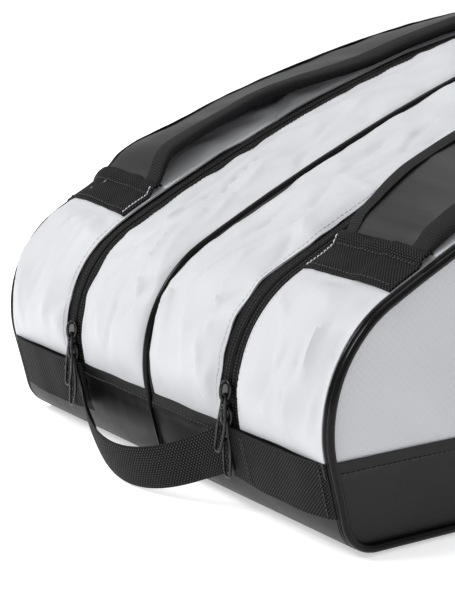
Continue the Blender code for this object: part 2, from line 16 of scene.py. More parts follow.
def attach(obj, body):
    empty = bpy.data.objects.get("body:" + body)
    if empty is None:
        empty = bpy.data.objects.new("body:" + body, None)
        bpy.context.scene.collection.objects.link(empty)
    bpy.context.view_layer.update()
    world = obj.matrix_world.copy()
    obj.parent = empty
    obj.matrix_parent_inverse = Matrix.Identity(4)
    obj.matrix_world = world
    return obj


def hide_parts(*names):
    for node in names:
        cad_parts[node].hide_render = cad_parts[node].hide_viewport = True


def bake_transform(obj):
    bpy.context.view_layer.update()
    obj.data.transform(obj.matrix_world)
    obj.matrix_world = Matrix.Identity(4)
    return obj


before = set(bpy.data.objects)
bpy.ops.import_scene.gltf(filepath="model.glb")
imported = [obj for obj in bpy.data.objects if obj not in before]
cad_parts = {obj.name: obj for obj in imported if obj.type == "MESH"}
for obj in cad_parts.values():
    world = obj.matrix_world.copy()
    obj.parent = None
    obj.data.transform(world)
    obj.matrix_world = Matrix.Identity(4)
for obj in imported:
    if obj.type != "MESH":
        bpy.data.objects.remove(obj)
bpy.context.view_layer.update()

# The outline, as in the CAD source
LENGTH = 0.762
WIDTH = 0.360
BORDER_Z = 0.055
NOSE_RADIUS = 0.0776
NOSE_CENTRE_Z = 0.0736
NOSE_LEAN = radians(14.3)
NOSE_CORNER_RADIUS = 0.024
NOSE_END_SLOPE = radians(28.4)
TOP_BREAK_SLOPE = radians(18.5)
TOP_FRONT_RADIUS_CENTRE = 1.50
TOP_FRONT_RADIUS_SIDE = 1.00
TOP_REAR_RADIUS = 0.80
HEAD_RADIUS = 0.130
TAIL_CORNER_RADIUS = 0.040
NOSE_CORNER, NOSE_LINE, NOSE_ARC, TOP_FRONT, TOP_REAR, HEAD, TAIL_LINE, TAIL_CORNER = range(1, 9)
STRETCHES = 10

# Where things are, as in the CAD source
HINGE_TAIL_Z = 0.085
HINGE_Y = 0.1855
ZIP_Y = 0.090
ZIP_HALF_WIDTH = 0.0102
ZIP_HALF_SLIT = 0.0008
ZIP_END_Z = HINGE_TAIL_Z - 0.004
LOWER_SLIDER_ANGLE = radians(-8.2)
UPPER_SLIDER_ANGLE = radians(2.4)
PULLER_LENGTH = 0.034
UPPER_PULLER_TILT = radians(6.0)
BAND_BOTTOM_Z = 0.0225
BAND_INNER_Y = 0.0830
HANDLE_AXIS_Z = 0.0424
HANDLE_HALF_SPAN = 0.0855
HANDLE_REACH = 0.0400
HANDLE_DROOP = radians(46.5)
HANDLE_HALF_WIDTH = 0.0150
HANDLE_TUCK = radians(20)
HANDLE_SEWN_LIFT = 0.0045
STRAP_INNER_Y = 0.1045
STRAP_OUTER_Y = 0.1745
STRAP_END_X = 0.0950
TAB_START_X = -0.3360
TAB_OUTER_Y = 0.1785
TAIL_WEB_START_X = 0.1240
TAIL_WEB_END_X = 0.2600
TAIL_WEB_HALF_WIDTH = 0.019
TAIL_TAB_END_X = 0.2950
BUCKLE_X = STRAP_END_X + 0.0176
PAD_START_X = -0.3075
PAD_HALF = 0.0030
PAD_CROWN = 0.0012
STRAP_MIDDLE_Y = (STRAP_INNER_Y + STRAP_OUTER_Y) / 2
STRAP_WIDTH = STRAP_OUTER_Y - STRAP_INNER_Y

# Thicknesses of the fabrics
FABRIC = 0.0013
WEBBING = 0.0015
TAPE = 0.0006
LINING = 0.0006
BINDING = 0.0007
QUILT = 0.0004

# Cells of a strip's mesh, along it and across it
FABRIC_CELL = (0.0026, 0.0021)
TAB_CELL = (0.0018, 0.0022)

# Seams: gaps beside the piping, hems, how far stitches lie in from an edge and from a row's end, pitches
SEAM = 0.0015
HEM = 0.0085
STITCH_IN = 0.0022
STITCH_END = 0.004
STITCH = 0.0036
TAB_STITCH = 0.0032
TAPE_STITCH = 0.0021
COIL_PITCH = 0.0016
EDGE_Y = WIDTH / 2 - SEAM
PIPING_Y = 0.1827
PIPING_RADIUS = 0.0024

# How the fabrics lie: creases of a strip, the upper fabric tucked behind the black panel, the zip's tape
# sunk and hidden under the strips, and the tabs lifted
CREASES = 60
TUCK_Z = BORDER_Z - 0.002
TAPE_SINK = 0.0009
TAPE_HIDDEN = 0.003
TAB_LIFT = 0.0016

SIDES = (("right", -1), ("left", 1))


# ---------------------------------------------------------------- outline
def toward(angle):
    return Vector((cos(angle), sin(angle)))


@lru_cache(maxsize=None)
def arcs(y):
    """The outline's arcs at the width y, as centre, radius, first and last outward angle."""
    crown = (abs(y) / (WIDTH / 2)) ** 2
    front_radius = TOP_FRONT_RADIUS_CENTRE + (TOP_FRONT_RADIUS_SIDE - TOP_FRONT_RADIUS_CENTRE) * crown
    lean = pi + NOSE_LEAN
    slope = pi / 2 + NOSE_END_SLOPE
    bend = pi / 2 + TOP_BREAK_SLOPE
    nose = Vector((-LENGTH / 2 + NOSE_RADIUS, NOSE_CENTRE_Z))
    start = nose + NOSE_RADIUS * toward(lean)
    foot_z = NOSE_CORNER_RADIUS * (1 + sin(lean))
    foot_x = start.x + (start.y - foot_z) * tan(NOSE_LEAN)
    corner = Vector((foot_x, foot_z)) - NOSE_CORNER_RADIUS * toward(lean)
    front = nose + (NOSE_RADIUS - front_radius) * toward(slope)
    rear = front + (front_radius - TOP_REAR_RADIUS) * toward(bend)
    last = acos((LENGTH / 2 - HEAD_RADIUS - rear.x) / (TOP_REAR_RADIUS - HEAD_RADIUS))
    head = rear + (TOP_REAR_RADIUS - HEAD_RADIUS) * toward(last)
    tail = Vector((LENGTH / 2 - TAIL_CORNER_RADIUS, TAIL_CORNER_RADIUS))
    return {
        NOSE_CORNER: (corner, NOSE_CORNER_RADIUS, 1.5 * pi, lean),
        NOSE_ARC: (nose, NOSE_RADIUS, lean, slope),
        TOP_FRONT: (front, front_radius, slope, bend),
        TOP_REAR: (rear, TOP_REAR_RADIUS, bend, last),
        HEAD: (head, HEAD_RADIUS, last, 0.0),
        TAIL_CORNER: (tail, TAIL_CORNER_RADIUS, 0.0, -pi / 2),
    }


def outline(y, station, inset=0.0):
    """The point (x, z) of the outline at a width, a station and an inset from the outer face."""
    station %= STRETCHES
    stretch = int(station)
    along = station - stretch
    table = arcs(y)

    def on_arc(number, fraction):
        centre, radius, first, last = table[number]
        return centre + (radius - inset) * toward(first + (last - first) * fraction)

    if stretch in table:
        return on_arc(stretch, along)
    if stretch == 0:
        return Vector((0.0, inset)).lerp(on_arc(NOSE_CORNER, 0.0), along)
    if stretch == STRETCHES - 1:
        return on_arc(TAIL_CORNER, 1.0).lerp(Vector((0.0, inset)), along)
    return on_arc(stretch - 1, 1.0).lerp(on_arc(stretch + 1, 0.0), along)


def nose_station(z):
    """Station at a height on the nose, below the end of its arc."""
    foot = outline(0.0, float(NOSE_LINE)).y
    arc_start = outline(0.0, float(NOSE_ARC)).y
    if z < arc_start:
        return NOSE_LINE + (z - foot) / (arc_start - foot)
    centre, radius, first, last = arcs(0.0)[NOSE_ARC]
    return NOSE_ARC + (first - pi + asin((z - centre.y) / radius)) / (first - last)


def tail_station(y, z):
    """Station at a height on the straight tail."""
    high = outline(y, float(TAIL_LINE)).y
    return TAIL_LINE + (high - z) / (high - TAIL_CORNER_RADIUS)


def top_station(y, x):
    """Station at a length x on the top or on the head end."""
    for number in (TOP_FRONT, TOP_REAR, HEAD):
        centre, radius, first, last = arcs(y)[number]
        angle = acos(max(-1.0, min(1.0, (x - centre.x) / radius)))
        if angle >= last - 1e-9:
            return number + (first - angle) / (first - last)
    return float(TAIL_LINE)


@lru_cache(maxsize=None)
def run(y, first, last):
    """Stations between two, and the length of the outline up to each."""
    step = 1 / 16
    marks = [first] + [m * step for m in range(int(first / step), int(last / step) + 1)
                       if first + 1e-6 < m * step < last - 1e-6] + [last]
    points = [outline(y, mark) for mark in marks]
    lengths = np.cumsum([0.0] + [(b - a).length for a, b in zip(points, points[1:])])
    return np.array(marks), lengths


def station_at(share, marks, lengths):
    """Station at a share of a run's length."""
    return float(np.interp(share * lengths[-1], lengths, marks))


def on_top(x, y, height):
    """The point at a height above the bag's top, over a length x and a width."""
    raised = outline(y, top_station(y, x), -height)
    return Vector((raised.x, y, raised.y))


def smooth(low, high, value):
    """0 below low, 1 above high, and a smooth step between."""
    share = max(0.0, min(1.0, (value - low) / (high - low)))
    return share * share * (3 - 2 * share)


def keep_sign(value, power):
    """A power of a number's size, with the number's sign."""
    return copysign(abs(value) ** power, value)


# ---------------------------------------------------------------- meshes
class Cloth:
    """A strip cut from the outline: two stations, two widths, and a rise above it.

    The stations may be functions of the width.  rise takes the length along the strip in metres,
    the width, and the x and z of the point below, and gives metres.  sway moves a point across the
    strip, so an edge need not run straight.
    """

    def __init__(self, first, last, low, high, rise=lambda s, y, x, z: 0.0, sway=lambda s, y: 0.0):
        self.first, self.last, self.low, self.high, self.rise = first, last, low, high, rise
        self.sway = sway
        self.length = self.table((low + high) / 2)[1][-1]

    def table(self, width):
        width = round(width, 6)
        first, last = (end(width) if callable(end) else end for end in (self.first, self.last))
        return run(width, first, last)

    def at(self, share, width, lift=0.0):
        """Point of the strip's outer face, lifted off it."""
        marks, lengths = self.table(width)
        station = station_at(share, marks, lengths)
        along, width_key = float(share * lengths[-1]), round(width, 6)
        below = outline(width_key, station)
        out = float(self.rise(along, width, below.x, below.y)) + lift
        x, z = outline(width_key, station, -out)
        return Vector((x, width + self.sway(along, width), z))

    def normal(self, share, width):
        step = 0.002
        along = self.at(min(1, share + step), width) - self.at(max(0, share - step), width)
        across = self.at(share, width + step) - self.at(share, width - step)
        return along.cross(across).normalized()


def add_object(name, data):
    """A new object in the scene."""
    made = bpy.data.objects.new(name, data)
    bpy.context.scene.collection.objects.link(made)
    return made


def new_object(name, vertices, faces, uvs, finishes):
    """A smooth mesh object whose loops have the texture coordinates, in metres."""
    mesh = bpy.data.meshes.new(name)
    mesh.from_pydata([tuple(v) for v in vertices], [], faces)
    layer = mesh.uv_layers.new(name="cloth")
    layer.data.foreach_set("uv", np.array(uvs, np.float32).ravel())
    for finish in finishes:
        mesh.materials.append(finish)
    mesh.shade_smooth()
    return add_object(name, mesh)


def bake(made, sharp=radians(50)):
    """Applies the modifiers, and keeps edges over the angle sharp."""
    bpy.context.view_layer.update()
    graph = bpy.context.evaluated_depsgraph_get()
    finished = made.evaluated_get(graph)
    mesh = bpy.data.meshes.new_from_object(finished, preserve_all_data_layers=True, depsgraph=graph)
    made.modifiers.clear()
    made.data = mesh
    mesh.shade_smooth()
    mesh.set_sharp_from_angle(angle=sharp)
    return made


def thicken(made, thickness, lined=False, offset=-1.0, even=True):
    """Gives a sheet its thickness, on the inner side as a rule; a lined one has its second finish there."""
    solid = made.modifiers.new("thickness", "SOLIDIFY")
    solid.thickness = thickness
    solid.offset = offset
    solid.use_even_offset = even
    solid.material_offset = 1 if lined else 0
    return bake(made)


def grid(name, points, uvs, finishes, flip=False):
    """A sheet over a grid of points, with one texture coordinate for each."""
    rows, columns = len(points), len(points[0])
    corners = ((0, 0), (1, 0), (1, 1), (0, 1))
    if flip:
        corners = corners[::-1]
    faces, loops = [], []
    for row in range(rows - 1):
        for column in range(columns - 1):
            faces.append([(row + a) * columns + column + b for a, b in corners])
            loops += [uvs[row + a][column + b] for a, b in corners]
    return new_object(name, [p for line in points for p in line], faces, loops, finishes)


def cloth_sheet(name, cloth, along, across, thickness, finishes):
    """The mesh of a strip, with cells of about along by across metres."""
    rows = max(2, round(cloth.length / along))
    columns = max(2, round((cloth.high - cloth.low) / across))
    widths = [cloth.low + (cloth.high - cloth.low) * c / columns for c in range(columns + 1)]
    points = [[cloth.at(r / rows, w) for w in widths] for r in range(rows + 1)]
    uvs = [[(cloth.length * r / rows, w) for w in widths] for r in range(rows + 1)]
    return thicken(grid(name, points, uvs, finishes), thickness, lined=len(finishes) > 1)


def skin(name, rings, finishes, closed=False, scale_round=None):
    """A closed surface through rings of points, capped at both ends unless it is closed."""
    count, around = len(rings), len(rings[0])
    centres = [sum(ring, Vector()) / around for ring in rings]
    lengths = np.cumsum([0.0] + [(b - a).length for a, b in zip(centres, centres[1:] + centres[:1])])
    girth = scale_round or sum((a - b).length for a, b in zip(rings[0], rings[0][1:] + rings[0][:1]))
    vertices = [p for ring in rings for p in ring]
    faces, loops = [], []
    for r in range(count if closed else count - 1):
        for k in range(around):
            far, turn = (r + 1) % count, (k + 1) % around
            faces.append([r * around + k, far * around + k, far * around + turn, r * around + turn])
            for a, b in ((0, 0), (1, 0), (1, 1), (0, 1)):
                loops.append((lengths[r + a], (k + b) / around * girth))
    if not closed:
        for r, order in ((0, 1), (count - 1, -1)):
            centre = len(vertices)
            vertices.append(centres[r])
            for k in range(around):
                pair = [r * around + k, r * around + (k + 1) % around][::order]
                faces.append([centre, *pair])
                loops += [(lengths[r], 0.0), (lengths[r], 0.001), (lengths[r], 0.002)]
    made = new_object(name, vertices, faces, loops, finishes)
    shape = bmesh.new()
    shape.from_mesh(made.data)
    bmesh.ops.recalc_face_normals(shape, faces=shape.faces)
    shape.to_mesh(made.data)
    shape.free()
    made.data.set_sharp_from_angle(angle=radians(60))
    return made


def wire(name, path, radius, finish, closed=False, around=10, upright=False):
    """A round wire or cord along points; an upright one stays in a plane of constant Y."""
    rings = []
    count = len(path)
    side = None
    for index, point in enumerate(path):
        before = path[index - 1] if closed or index else path[0]
        after = path[(index + 1) % count] if closed or index + 1 < count else path[-1]
        ahead = (after - before).normalized()
        if upright:
            side = Vector((0, 1, 0)).cross(ahead).normalized()
        elif side is None:
            side = ahead.orthogonal().normalized()
        else:
            side = (side - side.dot(ahead) * ahead).normalized()
        up = Vector((0, 1, 0)) if upright else ahead.cross(side)
        rings.append([point + radius * (cos(a) * side + sin(a) * up)
                      for a in (2 * pi * k / around for k in range(around))])
    return skin(name, rings, [finish], closed)


def stitches(name, rows, finish, thread=0.00038, reach=0.74):
    """Rows of sewn thread: each row is a list of (point, outward normal) at the stitch pitch."""
    vertices, faces, loops = [], [], []
    stations = ((0.0, 0.3, -1.2), (0.16, 0.9, 0.3), (0.5, 1.0, 0.8), (0.84, 0.9, 0.3), (1.0, 0.3, -1.2))
    sides = 6
    for row in rows:
        for (here, out), (there, _) in zip(row, row[1:]):
            ahead = (there - here) * reach
            across = ahead.cross(out).normalized()
            base = len(vertices)
            for share, size, height in stations:
                centre = here + ahead * share + out * thread * height
                for k in range(sides):
                    angle = 2 * pi * k / sides
                    vertices.append(centre + thread * size * (cos(angle) * across + sin(angle) * out))
            for s in range(len(stations) - 1):
                for k in range(sides):
                    turn = (k + 1) % sides
                    faces.append([base + s * sides + k, base + s * sides + turn,
                                  base + (s + 1) * sides + turn, base + (s + 1) * sides + k])
                    loops += [(stations[s][0], k / sides), (stations[s][0], (k + 1) / sides),
                              (stations[s + 1][0], (k + 1) / sides), (stations[s + 1][0], k / sides)]
            for s, order in ((0, -1), (len(stations) - 1, 1)):
                faces.append([base + s * sides + k for k in range(sides)][::order])
                loops += [(0.0, 0.0)] * sides
    return new_object(name, vertices, faces, loops, [finish])


def seam_along(cloth, width, pitch, lift=0.0, first=0.0, last=1.0):
    """Stitch places along a strip at one width."""
    count = max(2, round(cloth.length * (last - first) / pitch))
    shares = [first + (last - first) * k / count for k in range(count + 1)]
    return [(cloth.at(share, width, lift), cloth.normal(share, width)) for share in shares]


def seam_across(cloth, share, low, high, pitch, lift=0.0002):
    """Stitch places across a strip at one share of its length."""
    count = max(2, round(abs(high - low) / pitch))
    widths = [low + (high - low) * k / count for k in range(count + 1)]
    return [(cloth.at(share, width, lift), cloth.normal(share, width)) for width in widths]


def lay(name, cloth, cell, thickness, finishes, body, stands_for=()):
    """Makes a strip's mesh, with cells of about cell metres along and across, and puts it on its body."""
    sheet = cloth_sheet(name, cloth, *cell, thickness, [FINISH[finish] for finish in finishes])
    return settle(sheet, body, stands_for)


def sew(name, rows, body, slot, finish="black_thread", **sizes):
    """Rows of stitches, put on a body."""
    return settle(stitches(name, rows, FINISH[finish], **sizes), body)


def span(sign, low, high):
    """Two widths on one side of the bag, the smaller Y first."""
    return sorted((sign * low, sign * high))


# ---------------------------------------------------------------- riding
def hinge(sign):
    """A cover's fold: its front point and the direction away from the fixed part."""
    start = outline(sign * WIDTH / 2, float(TOP_FRONT))
    end = Vector((LENGTH / 2, HINGE_TAIL_Z))
    line = (end - start).normalized()
    return Vector((start.x, sign * HINGE_Y, start.y)), Vector((-line.y, 0.0, line.x))


def settle(piece, body, stands_for=()):
    """Puts a finished piece on its body.  "right fold" names the fold between the root and the right cover; a piece
    for it is only baked in place, put on no body, and does not bend.
    """
    if body.endswith(" fold"):
        side = body.split()[0]
        point, rise = hinge(dict(SIDES)[side])
        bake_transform(piece)
    else:
        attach(piece, body)
    if stands_for:
        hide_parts(*stands_for)
    return piece


# ---------------------------------------------------------------- materials
class Finish:
    """Builds one procedural material, from lengths in metres along and across the piece."""

    def __init__(self, name, colour, roughness, solid=False, **settings):
        self.material = bpy.data.materials.new(name)
        self.material.use_nodes = True
        self.tree = self.material.node_tree
        self.shader = self.tree.nodes["Principled BSDF"]
        self.shader.inputs["Base Color"].default_value = (*colour, 1.0)
        self.shader.inputs["Roughness"].default_value = roughness
        for key, value in settings.items():
            self.shader.inputs[key.replace("_", " ")].default_value = value
        self.colour = colour
        self.where = (self.node("TexCoord").outputs["Object"] if solid
                      else self.node("UVMap", uv_map="cloth").outputs["UV"])
        self.along, self.across, _ = self.node("SeparateXYZ", self.where).outputs

    def node(self, kind, *sources, **settings):
        made = self.tree.nodes.new("ShaderNode" + kind)
        for key, value in settings.items():
            if hasattr(made, key):
                setattr(made, key, value)
            else:
                made.inputs[key.replace("_", " ")].default_value = value
        for socket, source in zip(made.inputs, sources):
            if isinstance(source, (int, float)):
                socket.default_value = source
            else:
                self.tree.links.new(source, socket)
        return made

    def math(self, operation, *sources):
        return self.node("Math", *sources, operation=operation).outputs[0]

    def times(self, first, second):
        return self.math("MULTIPLY", first, second)

    def place(self, stretch):
        return self.node("Mapping", self.where, Scale=stretch).outputs[0] if stretch else self.where

    def noise(self, scale, detail=3.0, stretch=None):
        return self.node("TexNoise", self.place(stretch), Scale=scale, Detail=detail, Roughness=0.5).outputs["Fac"]

    def cells(self, scale, stretch=None):
        return self.node("TexVoronoi", self.place(stretch), Scale=scale).outputs["Distance"]

    def wave(self, value, period, phase=0.0):
        """A sine from 0 to 1 of a length with a period, both in metres."""
        turned = self.math("ADD", self.times(value, 2 * pi / period), phase)
        return self.math("MULTIPLY_ADD", self.math("SINE", turned), 0.5, 0.5)

    def weave(self, pitch):
        """A plain weave."""
        return self.times(self.wave(self.along, pitch), self.wave(self.across, pitch))

    def ribbed(self, along, across, wale, rib, sharp):
        """Webbing: wales along it, crossed by ribs that are half a rib apart in each next wale."""
        cell = self.times(self.math("FLOOR", self.math("DIVIDE", across, wale)), pi)
        ribs = self.math("POWER", self.wave(along, rib, cell), sharp)
        return self.times(self.math("POWER", self.wave(across, wale), 0.6), ribs)

    def tint(self, value, dark, light):
        """Base colour between two shares of the finish's colour."""
        mixed = self.node("Mix", data_type="RGBA")
        self.tree.links.new(value, mixed.inputs["Factor"])
        for socket in mixed.inputs:
            if socket.type == "RGBA":
                share = dark if socket.name == "A" else light
                socket.default_value = (*[min(1, c * share) for c in self.colour], 1.0)
        colour = next(o for o in mixed.outputs if o.type == "RGBA")
        self.tree.links.new(colour, self.shader.inputs["Base Color"])

    def gloss(self, value, low, high):
        """Roughness between two values."""
        ramped = self.node("MapRange", value)
        ramped.inputs["To Min"].default_value = low
        ramped.inputs["To Max"].default_value = high
        self.tree.links.new(ramped.outputs[0], self.shader.inputs["Roughness"])

    def bump(self, value, depth, strength=1.0):
        """Adds a relief, depth metres high, to the ones before it."""
        previous = self.shader.inputs["Normal"].links
        made = self.node("Bump", Strength=strength, Distance=depth)
        self.tree.links.new(value, made.inputs["Height"])
        if previous:
            self.tree.links.new(previous[0].from_socket, made.inputs["Normal"])
        self.tree.links.new(made.outputs[0], self.shader.inputs["Normal"])


def white_tarpaulin():
    made = Finish("white_tarpaulin", (0.55, 0.56, 0.583), 0.5, Specular_IOR_Level=0.4)
    made.tint(made.noise(9.0, 4.0, (1.0, 2.2, 1.0)), 0.94, 1.04)
    made.gloss(made.noise(30.0), 0.42, 0.58)
    made.bump(made.weave(0.0011), 0.00003, 0.5)
    made.bump(made.cells(62.0, (0.7, 1.3, 1.0)), 0.0016, 0.22)
    made.bump(made.noise(46.0, 3.0, (0.35, 1.5, 1.0)), 0.0010, 0.3)
    return made.material


def side_fabric():
    """Ripstop: a lattice of thicker threads on the slant, over a plain weave."""
    made = Finish("side_fabric", (0.525, 0.535, 0.565), 0.5)
    made.tint(made.noise(14.0, 4.0), 0.93, 1.05)
    slants = [made.math(operation, made.along, made.across) for operation in ("ADD", "SUBTRACT")]
    made.bump(made.math("MAXIMUM", *[made.math("POWER", made.wave(slant, 0.0048), 14.0) for slant in slants]),
              0.00012, 0.8)
    made.bump(made.weave(0.0009), 0.00004, 0.6)
    made.bump(made.noise(30.0), 0.0012, 0.35)
    made.gloss(made.noise(60.0), 0.42, 0.58)
    return made.material


def black_tarpaulin():
    made = Finish("black_tarpaulin", (0.0085, 0.0085, 0.009), 0.46, Specular_IOR_Level=0.22)
    made.tint(made.noise(25.0, 4.0), 0.8, 1.3)
    made.gloss(made.noise(70.0, 4.0), 0.36, 0.52)
    made.bump(made.weave(0.0012), 0.00005, 0.5)
    made.bump(made.noise(500.0, 2.0), 0.00005, 0.6)
    made.bump(made.noise(32.0), 0.0012, 0.4)
    return made.material


def webbing():
    made = Finish("webbing", (0.0085, 0.0085, 0.009), 0.6, Specular_IOR_Level=0.08)
    height = made.ribbed(made.along, made.across, 0.0016, 0.0023, 2.2)
    # Painted light: the colour follows the rib height, so the rib crests are painted as highlights, up to 7.5 times
    # the base colour, and the hollows between them are painted as shade.
    made.tint(height, 0.1, 7.5)
    made.bump(height, 0.0005)
    made.bump(made.wave(made.across, 0.00035), 0.00003, 0.5)
    return made.material


def turned_webbing(name):
    """Webbing whose length runs across the strip it is cut from."""
    made = Finish(name, (0.0080, 0.0080, 0.0085), 0.6, Specular_IOR_Level=0.08)
    height = made.ribbed(made.across, made.along, 0.0012, 0.0022, 2.2)
    # Painted light: the colour follows the rib height, with painted highlight on the rib crests and painted shade
    # in the hollows between them.
    made.tint(height, 0.1, 8.0)
    made.bump(height, 0.0004)
    return made.material


def zip_weave():
    made = Finish("zip_tape", (0.0085, 0.0085, 0.009), 0.7, Specular_IOR_Level=0.15)
    pitch = 0.0016
    cell = made.times(made.math("FLOOR", made.math("DIVIDE", made.across, pitch)), pi)
    height = made.times(made.wave(made.across, pitch), made.wave(made.along, pitch, cell))
    # Painted light: the colour follows the weave's height, with painted highlight on the raised threads and painted
    # shade between them.
    made.tint(height, 0.1, 2.8)
    made.bump(height, 0.00012, 0.9)
    return made.material


def piping_finish():
    made = Finish("piping", (0.003, 0.003, 0.0035), 0.2, Specular_IOR_Level=0.16)
    made.gloss(made.noise(90.0), 0.14, 0.26)
    made.tint(made.noise(60.0), 0.8, 1.4)
    made.bump(made.noise(120.0, 3.0, (1.0, 0.4, 1.0)), 0.0003, 0.5)
    return made.material


def strap_synthetic():
    made = Finish("strap_synthetic", (0.0165, 0.0170, 0.0180), 0.42, Specular_IOR_Level=0.3)
    made.tint(made.noise(18.0, 4.0), 0.75, 1.35)
    made.gloss(made.noise(40.0, 4.0), 0.30, 0.46)
    made.bump(made.cells(1300.0), 0.00006, 0.6)
    made.bump(made.noise(45.0, 4.0, (1.0, 0.5, 1.0)), 0.0012, 0.45)
    return made.material


def knit():
    made = Finish("strap_binding", (0.0095, 0.0095, 0.010), 0.8, Specular_IOR_Level=0.25)
    soft = made.math("MULTIPLY_ADD", made.wave(made.across, 0.0011), 0.5, 0.5)
    height = made.times(made.math("POWER", made.wave(made.along, 0.0012), 0.7), soft)
    # Painted light: the colour follows the knit's ribs, with painted highlight on the ridges and painted shade in
    # the grooves.
    made.tint(height, 0.2, 2.8)
    made.bump(height, 0.0004)
    return made.material


def lining_cloth():
    made = Finish("lining", (0.09, 0.09, 0.095), 0.7)
    made.tint(made.noise(30.0), 0.85, 1.15)
    made.bump(made.math("MAXIMUM", made.wave(made.along, 0.0014), made.wave(made.across, 0.0014)), 0.00006, 0.7)
    return made.material


def black_metal():
    made = Finish("black_metal", (0.004, 0.004, 0.0045), 0.16, solid=True, Specular_IOR_Level=0.3, Coat_Weight=0.25,
                  Coat_Roughness=0.04)
    made.gloss(made.noise(900.0), 0.14, 0.3)
    made.tint(made.noise(1400.0, 4.0), 0.7, 1.8)
    made.bump(made.noise(1500.0, 2.0), 0.00003, 0.5)
    return made.material


def moulded_plastic():
    made = Finish("buckle_plastic", (0.014, 0.014, 0.015), 0.4, solid=True)
    made.gloss(made.noise(600.0), 0.34, 0.5)
    made.tint(made.noise(500.0), 0.8, 1.3)
    made.bump(made.noise(2500.0, 2.0), 0.00003, 0.6)
    return made.material


def board_plastic():
    made = Finish("stiffener", (0.03, 0.03, 0.032), 0.55, solid=True)
    made.tint(made.noise(80.0, 5.0), 0.8, 1.4)
    made.bump(made.noise(700.0), 0.0001, 0.6)
    return made.material


def thread(name, colour):
    """Twisted thread; its lengths run from 0 to 1 along each stitch and round it."""
    made = Finish(name, colour, 0.6, Sheen_Weight=0.2)
    twist = made.wave(made.math("ADD", made.along, made.across), 0.25)
    made.bump(twist, 0.0001, 0.8)
    # Painted light: a little painted shade in the grooves of the twist and a slight painted highlight on its
    # ridges.
    made.tint(twist, 0.85, 1.1)
    return made.material


FINISH = {
    "white_tarpaulin": white_tarpaulin(), "side_fabric": side_fabric(), "black_tarpaulin": black_tarpaulin(),
    "webbing": webbing(), "webbing_across": turned_webbing("webbing_across"),
    "webbing_tab": turned_webbing("webbing_tab"), "zip_tape": zip_weave(), "piping": piping_finish(),
    "strap_synthetic": strap_synthetic(), "strap_binding": knit(), "lining": lining_cloth(),
    "black_metal": black_metal(), "buckle_plastic": moulded_plastic(), "stiffener": board_plastic(),
    "white_thread": thread("white_thread", (0.72, 0.72, 0.74)),
    "black_thread": thread("black_thread", (0.012, 0.012, 0.012)),
}


# ---------------------------------------------------------------- fabric shapes
def crease_lines(seed, low, high):
    """Creases of a strip, most of them near the nose: place, direction, reach, width and height."""
    pick = random.Random(seed)
    lines = []
    for index in range(CREASES):
        along = pick.uniform(0.0, 0.30) if index % 5 < 3 else pick.uniform(0.2, 1.1)
        turn = pick.gauss(0.0, 0.5)
        height = pick.choice((-1, 1)) * pick.uniform(0.0014, 0.0038) * (1 - 0.75 * smooth(0.16, 0.30, along))
        lines.append((along, pick.uniform(low, high), cos(turn), sin(turn),
                      pick.uniform(0.014, 0.050), pick.uniform(0.0018, 0.0048), height))
    return lines


def creases(lines, s, y, seed):
    """Stiff coated fabric: soft long swells, crossed by short sharp creases."""
    total = 0.0018 * noise.noise(Vector((s * 7.0, y * 34.0, seed)))
    total += 0.0013 * noise.noise(Vector((s * 19.0 + y * 22.0, y * 40.0 - s * 6.0, seed + 5)))
    total += 0.0048 * (0.3 - abs(noise.noise(Vector((s * 10.0 + y * 7.0, y * 19.0 - s * 3.0, seed + 9)))))
    total += 0.0030 * (0.3 - abs(noise.noise(Vector((s * 27.0 - y * 12.0, y * 38.0 + s * 9.0, seed + 13)))))
    for along, width, c, d, reach, broad, height in lines:
        ds, dy = s - along, y - width
        far = abs(ds * c + dy * d) / reach
        if far < 1:
            aside = abs(dy * c - ds * d) / broad
            if aside < 4:
                total += height * (1 - far * far) * exp(-aside)
    return total


def ragged(seed, depth, step=0.030):
    """An edge in short straight runs, each at its own small offset: metres, by length along it."""
    pick = random.Random(seed)
    marks = np.cumsum([pick.uniform(0.5, 1.5) * step for _ in range(60)])
    shifts = [pick.uniform(-depth, depth) for _ in marks]
    return lambda s: float(np.interp(s, marks, shifts))


def pucker(distance, s, seed, depth=0.0016, reach=0.020, wave=85.0):
    """Small gathers that run out from a seam."""
    return depth * exp(-max(distance, 0.0) / reach) * noise.noise(Vector((s * wave, distance * 20.0, seed)))


def pillow(share, power=2.6):
    """Crown of a strip between its two seams: 0 at the seams and 1 in the middle."""
    return 1 - abs(2 * share - 1) ** power


def inner_rise(sign):
    low, high = SEAM, ZIP_Y - ZIP_HALF_WIDTH
    seed = 3.0 if sign < 0 else 13.0
    lines = crease_lines(seed, low, high)

    def rise(s, y, x, z):
        share = (abs(y) - low) / (high - low)
        border = z - BORDER_Z
        body = 0.0045 * pillow(share) + creases(lines, s, abs(y), seed) * pillow(share, 8.0)
        body += pucker(border, y, seed + 1)
        body += pucker((1 - share) * (high - low), s, seed + 2, 0.0014, 0.010, 70.0)
        body += pucker(share * (high - low), s, seed + 4, 0.0012, 0.012, 90.0) * smooth(0.0, 0.08, share)
        return body * smooth(-0.002, 0.028, border) + 0.0004 - 0.0012 * exp(-((share * 0.08) / 0.003) ** 2)

    return rise


def swell(x, y, sign):
    """The left outer strip stands up under its tab, where the strap pulls on it."""
    if sign < 0:
        return 0.0
    share = max(0.0, min(1.0, (y - ZIP_Y) / (EDGE_Y - ZIP_Y)))
    from_tab = x - TAB_START_X
    reach = smooth(-0.036, 0.006, from_tab) * (1 - smooth(0.036, 0.101, from_tab))
    return 0.0095 * reach * share * (1 - share ** 5)


